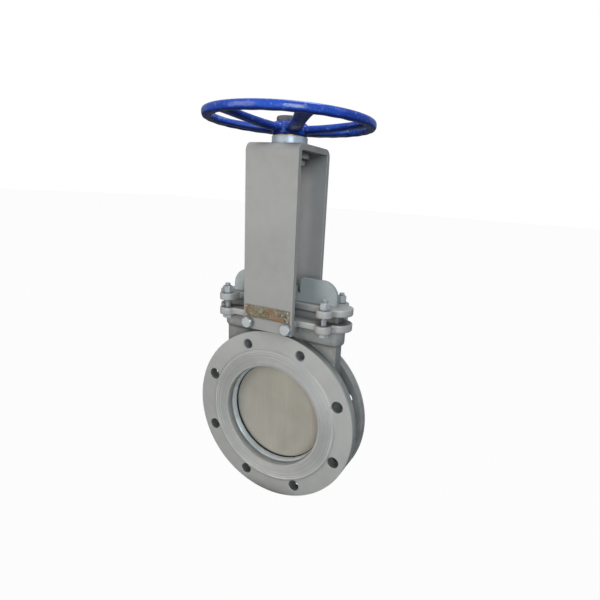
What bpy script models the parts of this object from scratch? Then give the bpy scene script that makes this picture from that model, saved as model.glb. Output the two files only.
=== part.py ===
"""Knife gate valve, DN 200, wafer body drilled to PN 10, rising stem and fixed-height handwheel.

Frame: the origin is the centre of the flow bore, midway between the two sealing faces.
+Y runs along the pipe from the seat side to the back, +Z runs up the stem. Metres.
The valve stands closed: the gate fills the bore and the stem top is level with the wheel.
"""
import math

import bmesh
import bpy
from mathutils import Matrix

MM = 0.001
GAP = 0.3 * MM  # air between pieces that touch

# Flow end: two flange discs on a narrower core
BORE_R = 102 * MM
FLANGE_R = 170 * MM
FACE_R = 134 * MM
FACE_Y = 35 * MM  # half of the face-to-face length
DISC_FRONT_Y = 32 * MM
DISC_BACK_Y = 12 * MM
CORE_R = 134 * MM
BOLT_CIRCLE_R = 147.5 * MM
THROUGH_HOLE_R = 11 * MM
TAPPED_HOLE_R = 8.75 * MM
TAPPED_DEPTH = 18 * MM
BOLT_COUNT = 8

# Gate and the slot it runs in
GATE_HALF_W = 109 * MM
GATE_HALF_T = 4 * MM
GATE_ARC_Z = 4 * MM
GATE_TOP = 273 * MM
GATE_CORNER_R = 30 * MM
NOTCH_HALF_W = 35.5 * MM
NOTCH_Z = 244 * MM
NOTCH_CORNER_R = 6 * MM
SLOT_SIDE_GAP = 1.3 * MM
SLOT_FACE_GAP = 0.6 * MM

# Seat, in a counterbore on the front side of the slot
SEAT_POCKET_R = 108 * MM
SEAT_POCKET_Y = -20.3 * MM
SEAT_RING_Y = (-20 * MM, -8.3 * MM)
SEAT_RING_R = 99 * MM
SEAL_Y = (-8 * MM, -4.3 * MM)
SEAL_R = 98 * MM

# Slide strips behind the gate edges
SLIDER_X = (103.6 * MM, 109.4 * MM)
SLIDER_Y = (5 * MM, 9 * MM)
SLIDER_Z = (-40 * MM, 140 * MM)

# Neck and stuffing box
WALL_HALF_W = 118 * MM
NECK_HALF_W = 126 * MM
NECK_HALF_D = 20 * MM
NECK_Z = (160 * MM, 195 * MM)
NECK_FILLET = 7 * MM
BOX_HALF_W = 117.6 * MM
BOX_HALF_D = 12.6 * MM
BOX_FLOOR_Z = 163 * MM

# The two bolted flanges at the neck: the body's own and the gland's
LUG_X = 101 * MM
LUG_Y = 35 * MM
LUG_R = 14.5 * MM
END_X = 112 * MM
END_R = 26 * MM
BODY_FLANGE_Z = (189.5 * MM, 203.5 * MM)
BODY_FLANGE_MID_Z = 192 * MM
BODY_FLANGE_MID_D = 38 * MM
GLAND_Z = (217.5 * MM, 230.5 * MM)
GLAND_MID_D = 16.5 * MM
GLAND_NOSE_Z = 191 * MM
PACKING_COUNT = 3

# Fasteners: (shank radius, half width across flats, head height, nut height)
M8 = (4 * MM, 6.5 * MM, 5.3 * MM, 6.5 * MM)
M10 = (5 * MM, 8 * MM, 6.6 * MM, 12.4 * MM)
M12 = (6 * MM, 9 * MM, 7.5 * MM, 10.4 * MM)
HOLE_CLEARANCE = 0.6 * MM
GLAND_BOLT_TOP = 248.4 * MM

# Yoke: one plate bent into an inverted U, bolted to bosses on the neck
YOKE_HALF_W = 50 * MM
YOKE_HALF_D = 55 * MM
YOKE_PLATE = 10 * MM
YOKE_Z = (177.5 * MM, 492 * MM)
YOKE_BEND_R = 14 * MM
BOSS_HALF_W = 47 * MM
BOSS_Z = (180 * MM, 201 * MM)
YOKE_BOLT_X = 39.5 * MM
YOKE_BOLT_Z = 189 * MM
YOKE_BOLT_REACH = 14 * MM

# Data plate with its rivets
PLATE_X = (-46 * MM, 45 * MM)
PLATE_Z = (199.5 * MM, 221.5 * MM)
PLATE_T = 0.9 * MM
RIVET_R = 1.6 * MM
RIVET_INSET = 3.2 * MM

# Drive on the stem axis, from the clevis up to the wheel
STEM_R = 14 * MM
STEM_Z = (244.8 * MM, 533 * MM)
SLEEVE_R = 18 * MM
SLEEVE_Z = (460 * MM, 536.2 * MM)
COLLAR_R = 27 * MM
COLLAR_Z = (460.5 * MM, 469 * MM)
LOWER_WASHER_Z = (469.3 * MM, 471.2 * MM)
BUSH_R = 30 * MM
BUSH_SHANK_R = 25 * MM
BUSH_Z = (471.5 * MM, 505.4 * MM)
RETAINER_R = 34 * MM
RETAINER_Z = (472 * MM, 481.7 * MM)
UPPER_WASHER_Z = (505.7 * MM, 506.9 * MM)
WASHER_R = 28 * MM
HUB_R = 30 * MM
HUB_Z = (507.2 * MM, 527 * MM)
LOCKNUT_Z = (527.3 * MM, 535.8 * MM)
LOCKNUT_FLAT = 21.5 * MM
KEY_SIZE = 4 * MM
COLLAR_SCREW_R = 3 * MM
COLLAR_SCREW_ANGLE = math.radians(-58)

# Clevis that pins the stem to the gate
CLEVIS_HALF_W = 18 * MM
CLEVIS_HALF_D = 18.5 * MM
CLEVIS_Z = (231.5 * MM, 253.3 * MM)
CLEVIS_SLOT_TOP = 244.4 * MM
CLEVIS_BOLT_X = 9.5 * MM
CLEVIS_BOLT_Z = 238.2 * MM

# Handwheel
RIM_R = 134.5 * MM
RIM_HALF_W = 8.5 * MM
RIM_HALF_H = 7.5 * MM
RIM_Z = 529.5 * MM
SPOKE_COUNT = 6
SPOKE_ANGLE = math.radians(-50)
SPOKE_HALF_W = 11 * MM
SPOKE_HALF_H = 6 * MM
SPOKE_HUB_Z = 516.5 * MM

ROUND = 64  # sides of the large circles
TURNED = 28  # sides of the turned pieces on the stem axis
SMALL = 16  # sides of bolts and bolt holes
RIM_SIDES = 54


# ---------------------------------------------------------------- helpers

def clear_scene():
    for obj in list(bpy.data.objects):
        bpy.data.objects.remove(obj, do_unlink=True)


def paint(name, colour, roughness, metallic=0.0):
    material = bpy.data.materials.new(name)
    material.use_nodes = True
    shader = material.node_tree.nodes["Principled BSDF"]
    shader.inputs["Base Color"].default_value = (*colour, 1.0)
    shader.inputs["Roughness"].default_value = roughness
    shader.inputs["Metallic"].default_value = metallic
    material.diffuse_color = (*colour, 1.0)
    return material


def finish(name, bm, material, smooth_deg=35):
    """Turn a bmesh into a named, shaded object."""
    bmesh.ops.recalc_face_normals(bm, faces=bm.faces)
    mesh = bpy.data.meshes.new(name)
    bm.to_mesh(mesh)
    bm.free()
    mesh.shade_smooth()
    mesh.set_sharp_from_angle(angle=math.radians(smooth_deg))
    obj = bpy.data.objects.new(name, mesh)
    bpy.context.scene.collection.objects.link(obj)
    if material:
        mesh.materials.append(material)
    return obj


def helper(name, bm):
    """A cutter or a shape to be joined, kept out of the model itself."""
    obj = finish(name, bm, None)
    obj.hide_render = True
    obj.display_type = "WIRE"
    return obj


def boolean(obj, operation, tool):
    modifier = obj.modifiers.new(tool.name, "BOOLEAN")
    modifier.operation = operation
    modifier.solver = "EXACT"
    modifier.object = tool


def cut(obj, bm, name):
    boolean(obj, "DIFFERENCE", helper(name, bm))


def join(obj, bm, name):
    boolean(obj, "UNION", helper(name, bm))


def circle(radius, sides, centre=(0.0, 0.0), phase=0.0):
    step = 2 * math.pi / sides
    return [(centre[0] + radius * math.cos(phase + i * step),
             centre[1] + radius * math.sin(phase + i * step)) for i in range(sides)]


def arc(centre, radius, start_deg, end_deg, steps):
    points = []
    for i in range(steps + 1):
        angle = math.radians(start_deg + (end_deg - start_deg) * i / steps)
        points.append((centre[0] + radius * math.cos(angle), centre[1] + radius * math.sin(angle)))
    return points


def loft(loops, bm=None):
    """Skin a list of equal loops of 3-D points and close both ends."""
    bm = bm or bmesh.new()
    rings = [[bm.verts.new(point) for point in loop] for loop in loops]
    count = len(rings[0])
    for low, high in zip(rings, rings[1:]):
        for i in range(count):
            j = (i + 1) % count
            bm.faces.new((low[i], low[j], high[j], high[i]))
    bm.faces.new(rings[0][::-1])
    bm.faces.new(rings[-1])
    return bm


def prism(outline, low, high, axis="Z", bm=None):
    """Extrude a 2-D outline along Z, or along Y with the outline in X and Z."""
    if axis == "Z":
        return loft([[(x, y, h) for x, y in outline] for h in (low, high)], bm)
    return loft([[(x, h, z) for x, z in outline] for h in (low, high)], bm)


def block(x, y, z, bm=None):
    outline = [(x[0], y[0]), (x[1], y[0]), (x[1], y[1]), (x[0], y[1])]
    return prism(outline, z[0], z[1], bm=bm)


def centred(half):
    return (-half, half)


def turn_ring(profile, sides, axis="Z"):
    """Revolve a closed profile of (radius, height) points about Z or Y."""
    bm = bmesh.new()
    rings = []
    for radius, height in profile:
        if axis == "Z":
            points = [(x, y, height) for x, y in circle(radius, sides)]
        else:
            points = [(x, height, z) for x, z in circle(radius, sides)]
        rings.append([bm.verts.new(point) for point in points])
    for low, high in zip(rings, rings[1:] + rings[:1]):
        for i in range(sides):
            j = (i + 1) % sides
            bm.faces.new((low[i], low[j], high[j], high[i]))
    return bm


def tube(inner, outer, z, sides):
    return turn_ring([(inner, z[0]), (outer, z[0]), (outer, z[1]), (inner, z[1])], sides)


def hexagon(half_flat, centre=(0.0, 0.0), phase=0.0):
    return circle(half_flat / math.cos(math.pi / 6), 6, centre, phase)


def moved(bm, matrix):
    bmesh.ops.transform(bm, matrix=matrix, verts=bm.verts)
    return bm


def hang_on(pivot, pieces):
    """Parent pieces to the empty on their joint's axis without moving them."""
    for piece in pieces:
        piece.data.transform(Matrix.Translation(-pivot.location))
        piece.parent = pivot


def pivot_empty(name, height):
    empty = bpy.data.objects.new(name, None)
    empty.location = (0, 0, height)
    bpy.context.scene.collection.objects.link(empty)
    return empty


# ---------------------------------------------------------------- outlines

def lugged_outline(middle_depth):
    """Neck flange in plan: straight middle, four bolt lugs and two round ends."""
    apart = math.hypot(END_X - LUG_X, LUG_Y)
    heading = math.atan2(LUG_Y, LUG_X - END_X)
    swing = math.acos((END_R ** 2 + apart ** 2 - LUG_R ** 2) / (2 * END_R * apart))
    meet = heading - swing
    x = END_X + END_R * math.cos(meet)
    y = END_R * math.sin(meet)
    lug_end = math.degrees(math.atan2(y - LUG_Y, x - LUG_X))
    reach = math.sqrt(max(LUG_R ** 2 - max(middle_depth - LUG_Y, 0) ** 2, 0))
    lug_start = 180 - math.degrees(math.asin(max(middle_depth - LUG_Y, 0) / LUG_R))
    quarter = [(LUG_X - reach, middle_depth)] if middle_depth < LUG_Y else []
    quarter += arc((LUG_X, LUG_Y), LUG_R, lug_start, lug_end, 9)
    quarter += arc((END_X, 0), END_R, math.degrees(meet), 0, 5)[1:-1]
    half = quarter + [(END_X + END_R, 0.0)] + [(px, -py) for px, py in reversed(quarter)]
    return half + [(-px, -py) for px, py in half]


def slot_outline(half_w, half_t):
    return [(-half_w, -half_t), (half_w, -half_t), (half_w, half_t), (-half_w, half_t)]


def rounded_slot(half_w, half_d, radius, steps=4):
    points = []
    for sx, sy, start in ((1, 1, 0), (-1, 1, 90), (-1, -1, 180), (1, -1, 270)):
        centre = (sx * (half_w - radius), sy * (half_d - radius))
        points += arc(centre, radius, start, start + 90, steps)
    return points


def stadium(half_w, half_d, steps=10):
    right = arc((half_w - half_d, 0), half_d, -90, 90, steps)
    left = arc((-half_w + half_d, 0), half_d, 90, 270, steps)
    return right + left


def lug_centres():
    return [(sx * LUG_X, sy * LUG_Y) for sy in (-1, 1) for sx in (1, -1)]


# ---------------------------------------------------------------- cast body

def turned_solid(levels, sides):
    """Solid of revolution about Y through (radius, y) levels."""
    return loft([[(x, y, z) for x, z in circle(radius, sides)] for radius, y in levels])


def flow_body():
    """The two flange discs with their raised faces, on the core between them."""
    half = [(CORE_R, DISC_BACK_Y), (FLANGE_R, DISC_BACK_Y), (FLANGE_R, DISC_FRONT_Y),
            (FACE_R, DISC_FRONT_Y), (FACE_R, FACE_Y)]
    return turned_solid([(r, -y) for r, y in reversed(half)] + half, ROUND)


def flow_passage():
    """Bore from face to face, widened in front of the gate to hold the seat."""
    reach = FACE_Y + 1 * MM
    return turned_solid([(BORE_R, -reach), (BORE_R, SEAT_POCKET_Y), (SEAT_POCKET_R, SEAT_POCKET_Y),
                         (SEAT_POCKET_R, 0), (BORE_R, 0), (BORE_R, reach)], ROUND)


def gate_slot():
    """The flat chamber that the gate slides in, open at the top."""
    half_w = GATE_HALF_W + SLOT_SIDE_GAP
    outline = arc((0, GATE_ARC_Z), half_w, 180, 360, 40)
    outline += [(half_w, BOX_FLOOR_Z + 5 * MM), (-half_w, BOX_FLOOR_Z + 5 * MM)]
    return prism(outline, -GATE_HALF_T - SLOT_FACE_GAP, GATE_HALF_T + SLOT_FACE_GAP, "Y")


def neck_shape():
    """Neck with its lower edge rounded under."""
    loops = []
    for step in range(5):
        angle = math.radians(90 * step / 4)
        inset = NECK_FILLET * (1 - math.sin(angle))
        height = NECK_Z[0] + NECK_FILLET * (1 - math.cos(angle))
        loops.append([(x, y, height) for x, y in stadium(NECK_HALF_W - inset, NECK_HALF_D - inset)])
    loops.append([(x, y, NECK_Z[1]) for x, y in stadium(NECK_HALF_W, NECK_HALF_D)])
    return loft(loops)


def flange_holes():
    """Six through holes, and a tapped blind pair on each side under the neck."""
    bm = bmesh.new()
    for i in range(BOLT_COUNT):
        angle = 2 * math.pi * (i + 0.5) / BOLT_COUNT
        centre = (BOLT_CIRCLE_R * math.cos(angle), BOLT_CIRCLE_R * math.sin(angle))
        under_neck = centre[1] > 0 and abs(centre[0]) < WALL_HALF_W
        if under_neck:
            for side in (-1, 1):
                outer = side * (DISC_FRONT_Y + 1 * MM)
                inner = side * (DISC_FRONT_Y - TAPPED_DEPTH)
                low, high = sorted((outer, inner))
                prism(circle(TAPPED_HOLE_R, SMALL, centre), low, high, "Y", bm)
        else:
            reach = DISC_FRONT_Y + 1 * MM
            prism(circle(THROUGH_HOLE_R, SMALL + 4, centre), -reach, reach, "Y", bm)
    return bm


def yoke_bolt_holes(radius, low, high):
    bm = bmesh.new()
    for side in (-1, 1):
        for x in (-YOKE_BOLT_X, YOKE_BOLT_X):
            span = sorted((side * low, side * high))
            prism(circle(radius, SMALL, (x, YOKE_BOLT_Z)), span[0], span[1], "Y", bm)
    return bm


def lug_holes(low, high):
    bm = bmesh.new()
    for centre in lug_centres():
        prism(circle(M10[0] + HOLE_CLEARANCE, SMALL, centre), low, high, bm=bm)
    return bm


def make_body(material):
    body = finish("body", flow_body(), material)
    wall = centred(WALL_HALF_W), centred(DISC_BACK_Y + 0.5 * MM), (0, NECK_Z[0] + NECK_FILLET)
    join(body, block(*wall), "chamber_wall")
    join(body, neck_shape(), "neck")
    join(body, block(centred(BOSS_HALF_W), centred(YOKE_HALF_D - YOKE_PLATE - GAP), BOSS_Z), "yoke_bosses")
    low, high = BODY_FLANGE_Z
    join(body, prism(lugged_outline(NECK_HALF_D - 1 * MM), low, high), "neck_flange_lugs")
    web = block(centred(LUG_X), centred(BODY_FLANGE_MID_D), (BODY_FLANGE_MID_Z, high - 0.01 * MM))
    join(body, web, "neck_flange_web")
    cut(body, flow_passage(), "flow_passage")
    cut(body, gate_slot(), "gate_slot")
    box = prism(rounded_slot(BOX_HALF_W, BOX_HALF_D, 4 * MM), BOX_FLOOR_Z, high + 5 * MM)
    cut(body, box, "stuffing_box")
    for side in (-1, 1):
        x = sorted((side * (SLIDER_X[0] - GAP), side * (SLIDER_X[1] + GAP)))
        pocket = block(x, (0, SLIDER_Y[1] + GAP), (SLIDER_Z[0] - GAP, SLIDER_Z[1] + GAP))
        cut(body, pocket, f"slider_pocket_{'left' if side < 0 else 'right'}")
    cut(body, flange_holes(), "flange_bolt_holes")
    cut(body, lug_holes(low - 5 * MM, high + 5 * MM), "body_lug_holes")
    inner = YOKE_HALF_D - YOKE_PLATE
    cut(body, yoke_bolt_holes(M12[0] + GAP, inner - YOKE_BOLT_REACH - GAP, inner + 1 * MM), "yoke_taps")
    return body


# ---------------------------------------------------------------- fixed pieces

def make_seat(metal, rubber):
    low, high = SEAT_RING_Y
    outer = SEAT_POCKET_R - GAP
    profile = [(SEAT_RING_R, low), (outer, low), (outer, high), (SEAT_RING_R, high)]
    finish("seat_ring", turn_ring(profile, ROUND, "Y"), metal)
    low, high = SEAL_Y
    profile = [(SEAL_R, low), (outer, low), (outer, high), (SEAL_R, high)]
    finish("seat_seal", turn_ring(profile, ROUND, "Y"), rubber)


def make_sliders(material):
    for side, name in ((-1, "gate_slider_left"), (1, "gate_slider_right")):
        x = sorted((side * SLIDER_X[0], side * SLIDER_X[1]))
        finish(name, block(x, SLIDER_Y, SLIDER_Z), material)


def make_packing(material):
    top = GLAND_NOSE_Z - GAP
    pitch = (top - BOX_FLOOR_Z - GAP) / PACKING_COUNT
    for i in range(PACKING_COUNT):
        low = BOX_FLOOR_Z + GAP + i * pitch
        outline = rounded_slot(BOX_HALF_W - GAP, BOX_HALF_D - GAP, 4 * MM)
        ring = finish(f"packing_ring_{i + 1}", prism(outline, low, low + pitch - GAP), material)
        hole = slot_outline(GATE_HALF_W + 0.5 * MM, GATE_HALF_T + GAP)
        cut(ring, prism(hole, low - 5 * MM, low + pitch + 5 * MM), f"packing_hole_{i + 1}")


def make_gland(material):
    gland = finish("gland", prism(lugged_outline(GLAND_MID_D), *GLAND_Z), material)
    nose = rounded_slot(BOX_HALF_W - GAP, BOX_HALF_D - GAP, 4 * MM)
    join(gland, prism(nose, GLAND_NOSE_Z, GLAND_Z[1] - 2 * MM), "gland_nose")
    slot = slot_outline(GATE_HALF_W + 0.6 * MM, GATE_HALF_T + 0.4 * MM)
    cut(gland, prism(slot, GLAND_NOSE_Z - 5 * MM, GLAND_Z[1] + 5 * MM), "gland_slot")
    cut(gland, lug_holes(GLAND_Z[0] - 5 * MM, GLAND_Z[1] + 5 * MM), "gland_lug_holes")


def bolt_shape(size, reach):
    """Hex bolt along +Z: the head's bearing face is at zero, the head below it."""
    shank_r, half_flat, head, _ = size
    bm = bmesh.new()
    rings = [hexagon(half_flat - 1 * MM), hexagon(half_flat), hexagon(half_flat)]
    heights = (-head, -head + 0.7 * MM, 0)
    loft([[(x, y, z) for x, y in ring] for ring, z in zip(rings, heights)], bm)
    shank = bmesh.new()
    tip = 0.9 * MM
    radii = ((shank_r, -0.5 * MM), (shank_r, reach - tip), (shank_r - tip, reach))
    loft([[(x, y, z) for x, y in circle(r, SMALL)] for r, z in radii], shank)
    return bm, shank


def make_bolt(name, size, reach, matrix, material):
    head, shank = bolt_shape(size, reach)
    bolt = finish(name, moved(head, matrix), material)
    join(bolt, moved(shank, matrix), name + "_shank")
    return bolt


def nut_shape(size):
    shank_r, half_flat, _, height = size
    bevel = 0.7 * MM
    rings = [hexagon(half_flat - 1 * MM), hexagon(half_flat), hexagon(half_flat), hexagon(half_flat - 1 * MM)]
    heights = (0, bevel, height - bevel, height)
    solid = loft([[(x, y, z) for x, y in ring] for ring, z in zip(rings, heights)])
    hole = prism(circle(shank_r + GAP, SMALL), -1 * MM, height + 1 * MM)
    return solid, hole


def make_nut(name, size, matrix, material):
    solid, hole = nut_shape(size)
    nut = finish(name, moved(solid, matrix), material)
    cut(nut, moved(hole, matrix), name + "_bore")
    return nut


def make_gland_bolts(material):
    seat = BODY_FLANGE_Z[0] - GAP
    for i, (x, y) in enumerate(lug_centres(), 1):
        lift = Matrix.Translation((x, y, seat))
        make_bolt(f"gland_bolt_{i}", M10, GLAND_BOLT_TOP - seat, lift, material)
        nut_seat = Matrix.Translation((x, y, GLAND_Z[1] + GAP))
        make_nut(f"gland_nut_{i}", M10, nut_seat, material)


def yoke_outline(inset):
    """Inverted U in Y and Z, offset inwards from the outer face by inset."""
    half = YOKE_HALF_D - inset
    top = YOKE_Z[1] - inset
    radius = YOKE_BEND_R - inset
    points = [(half, YOKE_Z[0])]
    points += arc((half - radius, top - radius), radius, 0, 90, 6)
    points += arc((-half + radius, top - radius), radius, 90, 180, 6)
    points.append((-half, YOKE_Z[0]))
    return points


def make_yoke(material):
    outline = yoke_outline(0) + yoke_outline(YOKE_PLATE)[::-1]
    loops = [[(x, y, z) for y, z in outline] for x in (-YOKE_HALF_W, YOKE_HALF_W)]
    yoke = finish("yoke", loft(loops), material)
    hole = prism(circle(BUSH_SHANK_R + GAP, TURNED), YOKE_Z[1] - 2 * YOKE_PLATE, YOKE_Z[1] + 1 * MM)
    cut(yoke, hole, "bush_hole")
    bores = yoke_bolt_holes(M12[0] + HOLE_CLEARANCE, YOKE_HALF_D - YOKE_PLATE - 2 * MM, YOKE_HALF_D + 2 * MM)
    cut(yoke, bores, "yoke_bolt_holes")
    return yoke


def make_yoke_bolts(material):
    number = 0
    for side in (-1, 1):
        for x in (-YOKE_BOLT_X, YOKE_BOLT_X):
            number += 1
            place = Matrix.Translation((x, side * (YOKE_HALF_D + GAP), YOKE_BOLT_Z))
            inwards = Matrix.Rotation(math.radians(90 * side), 4, "X")
            reach = YOKE_PLATE + YOKE_BOLT_REACH
            make_bolt(f"yoke_bolt_{number}", M12, reach, place @ inwards, material)


def rivet_centres():
    xs = (PLATE_X[0] + RIVET_INSET, PLATE_X[1] - RIVET_INSET)
    zs = (PLATE_Z[0] + RIVET_INSET, PLATE_Z[1] - RIVET_INSET)
    return [(x, z) for z in zs for x in xs]


def make_data_plate(plate_metal, rivet_metal):
    face = -YOKE_HALF_D - GAP
    plate = finish("data_plate", block(PLATE_X, (face - PLATE_T, face), PLATE_Z), plate_metal)
    bm = bmesh.new()
    for centre in rivet_centres():
        prism(circle(RIVET_R * 0.6 + GAP, 10, centre), face - 2 * MM, face + 2 * MM, "Y", bm)
    cut(plate, bm, "rivet_holes")
    for i, (x, z) in enumerate(rivet_centres(), 1):
        head = face - PLATE_T - GAP
        radii = ((RIVET_R * 0.6, face - 0.05 * MM), (RIVET_R * 0.6, head), (RIVET_R, head),
                 (RIVET_R, head - 0.5 * MM), (RIVET_R * 0.5, head - 1 * MM))
        loops = [[(px, y, pz) for px, pz in circle(r, 10, (x, z))] for r, y in radii]
        finish(f"plate_rivet_{i}", loft(loops), rivet_metal)


def make_bush(steel):
    """Bearing bush through the yoke top, its retaining ring below the plate."""
    inner = SLEEVE_R + GAP
    shoulder = YOKE_Z[1] + GAP
    profile = [(inner, BUSH_Z[0]), (BUSH_SHANK_R, BUSH_Z[0]), (BUSH_SHANK_R, shoulder),
               (BUSH_R, shoulder), (BUSH_R, BUSH_Z[1] - 1 * MM), (BUSH_R - 1 * MM, BUSH_Z[1]), (inner, BUSH_Z[1])]
    finish("bearing_bush", turn_ring(profile, TURNED), steel)
    finish("bush_retainer", tube(BUSH_SHANK_R + GAP, RETAINER_R, RETAINER_Z, TURNED), steel)


# ---------------------------------------------------------------- turning pieces

def keyway(low, high, height):
    return block((low, high), centred(KEY_SIZE / 2 + GAP), height)


def spoke_shape(angle):
    """One dished spoke, an oval section lofted from the hub to the rim."""
    loops = []
    for t in (0.0, 0.25, 0.5, 0.75, 1.0):
        radius = (HUB_R - 6 * MM) * (1 - t) + (RIM_R - 1 * MM) * t
        height = SPOKE_HUB_Z + (RIM_Z - SPOKE_HUB_Z) * t ** 1.4
        half_w = SPOKE_HALF_W * (1.15 - 0.6 * t * (1 - t))
        loop = []
        for u, v in circle(1.0, 8):
            side = half_w * u
            x = radius * math.cos(angle) - side * math.sin(angle)
            y = radius * math.sin(angle) + side * math.cos(angle)
            loop.append((x, y, height + SPOKE_HALF_H * v))
        loops.append(loop)
    return loft(loops)


def make_handwheel(material):
    profile = [(RIM_R + RIM_HALF_W * u, RIM_Z + RIM_HALF_H * v) for u, v in circle(1.0, 10)]
    wheel = finish("handwheel", turn_ring(profile, RIM_SIDES), material)
    for i in range(SPOKE_COUNT):
        angle = SPOKE_ANGLE + 2 * math.pi * i / SPOKE_COUNT
        join(wheel, spoke_shape(angle), f"spoke_{i + 1}")
    low, high = HUB_Z
    hub = [(HUB_R - 2 * MM, low), (HUB_R, low + 2 * MM), (HUB_R, high - 3 * MM), (HUB_R - 3 * MM, high)]
    join(wheel, loft([[(x, y, z) for x, y in circle(r, TURNED)] for r, z in hub]), "hub")
    cut(wheel, prism(circle(SLEEVE_R + GAP, TURNED), low - 9 * MM, high + 9 * MM), "hub_bore")
    cut(wheel, keyway(0, SLEEVE_R + KEY_SIZE / 2 + GAP, (low - 9 * MM, high + 9 * MM)), "hub_keyway")
    return wheel


def make_stem_nut(bronze, steel):
    """Threaded sleeve that the wheel turns, with the key between them."""
    high = SLEEVE_Z[1]
    sleeve = finish("stem_nut", tube(STEM_R + GAP, SLEEVE_R, SLEEVE_Z, TURNED), bronze)
    floor = SLEEVE_R - KEY_SIZE / 2
    cut(sleeve, keyway(floor - GAP, SLEEVE_R + 5 * MM, (HUB_Z[0], high + 1 * MM)), "sleeve_keyway")
    inner, outer = floor, SLEEVE_R + KEY_SIZE / 2
    key_z = (HUB_Z[0] + GAP, HUB_Z[1] - GAP)
    key = finish("wheel_key", block((inner, outer), centred(KEY_SIZE / 2), key_z), steel)
    return [sleeve, key]


def make_locknut(material):
    low, high = LOCKNUT_Z
    bevel = 1.5 * MM
    radius = LOCKNUT_FLAT / math.cos(math.pi / 8)
    levels = ((radius - bevel, low), (radius, low + bevel), (radius, high - bevel), (radius - bevel, high))
    loops = [[(x, y, z) for x, y in circle(r, 8, phase=math.pi / 8)] for r, z in levels]
    nut = finish("wheel_locknut", loft(loops), material)
    cut(nut, prism(circle(SLEEVE_R + GAP, TURNED), low - 1 * MM, high + 1 * MM), "locknut_bore")
    return nut


def make_collar(steel, dark):
    """Collar clamped on the sleeve below the bush, held by a radial grub screw."""
    low, high = COLLAR_Z
    collar = finish("thrust_collar", tube(SLEEVE_R + GAP, COLLAR_R, COLLAR_Z, TURNED), steel)
    middle = (low + high) / 2
    across = Matrix.Rotation(math.radians(90), 4, "Y")
    turn = Matrix.Rotation(COLLAR_SCREW_ANGLE, 4, "Z")
    place = Matrix.Translation((0, 0, middle)) @ turn @ across
    bore = prism(circle(COLLAR_SCREW_R + GAP, 12), SLEEVE_R - 1 * MM, COLLAR_R + 3 * MM)
    cut(collar, moved(bore, place), "collar_screw_bore")
    screw = prism(circle(COLLAR_SCREW_R, 12), SLEEVE_R + 2 * GAP, COLLAR_R - 1 * MM)
    return [collar, finish("collar_screw", moved(screw, place), dark)]


def make_washers(bronze):
    """Plain thrust washers on both ends of the bush."""
    inner = SLEEVE_R + GAP
    finish("thrust_washer_lower", tube(inner, BUSH_SHANK_R - 1 * MM, LOWER_WASHER_Z, TURNED), bronze)
    finish("thrust_washer_upper", tube(inner, WASHER_R, UPPER_WASHER_Z, TURNED), bronze)


# ---------------------------------------------------------------- lifting pieces

def gate_outline():
    """Gate seen along the pipe: round foot, straight sides, shoulders with a notch between."""
    right = arc((0, GATE_ARC_Z), GATE_HALF_W, -90, 0, 20)
    right += arc((GATE_HALF_W - GATE_CORNER_R, GATE_TOP - GATE_CORNER_R), GATE_CORNER_R, 0, 90, 8)
    edge = NOTCH_HALF_W + NOTCH_CORNER_R
    right += arc((edge, GATE_TOP - NOTCH_CORNER_R), NOTCH_CORNER_R, 90, 180, 4)
    right.append((NOTCH_HALF_W, NOTCH_Z))
    return right + [(-x, z) for x, z in reversed(right[1:])]


def make_gate(material):
    gate = finish("gate", prism(gate_outline(), -GATE_HALF_T, GATE_HALF_T, "Y"), material, 20)
    bm = bmesh.new()
    for x in (-CLEVIS_BOLT_X, CLEVIS_BOLT_X):
        prism(circle(M8[0] + GAP, SMALL, (x, CLEVIS_BOLT_Z)), -10 * MM, 10 * MM, "Y", bm)
    cut(gate, bm, "gate_bolt_holes")
    return gate


def make_clevis(steel, fastener):
    """Clevis over the gate's top edge, with its two through bolts and nuts."""
    clevis = finish("stem_clevis", block(centred(CLEVIS_HALF_W), centred(CLEVIS_HALF_D), CLEVIS_Z), steel)
    low, high = CLEVIS_Z
    arms = block(centred(CLEVIS_HALF_W + 1 * MM), centred(GATE_HALF_T + GAP), (low - 1 * MM, CLEVIS_SLOT_TOP))
    cut(clevis, arms, "clevis_slot")
    cut(clevis, prism(circle(STEM_R + GAP, TURNED), CLEVIS_SLOT_TOP - 1 * MM, high + 1 * MM), "clevis_bore")
    pieces = [clevis]
    holes = bmesh.new()
    reach = 2 * CLEVIS_HALF_D + M8[3] + 2 * MM
    for i, x in enumerate((-CLEVIS_BOLT_X, CLEVIS_BOLT_X), 1):
        prism(circle(M8[0] + GAP, SMALL, (x, CLEVIS_BOLT_Z)), -30 * MM, 30 * MM, "Y", holes)
        backwards = Matrix.Rotation(math.radians(-90), 4, "X")
        front = Matrix.Translation((x, -CLEVIS_HALF_D - GAP, CLEVIS_BOLT_Z)) @ backwards
        back = Matrix.Translation((x, CLEVIS_HALF_D + GAP, CLEVIS_BOLT_Z)) @ backwards
        pieces.append(make_bolt(f"clevis_bolt_{i}", M8, reach, front, fastener))
        pieces.append(make_nut(f"clevis_nut_{i}", M8, back, fastener))
    cut(clevis, holes, "clevis_bolt_holes")
    return pieces


def make_stem(material):
    low, high = STEM_Z
    chamfer = 2 * MM
    levels = ((STEM_R - 1 * MM, low), (STEM_R, low + 1 * MM), (STEM_R, high - chamfer), (STEM_R - chamfer, high))
    loops = [[(x, y, z) for x, y in circle(r, TURNED)] for r, z in levels]
    return finish("stem", loft(loops), material)


# ---------------------------------------------------------------- assembly

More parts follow.
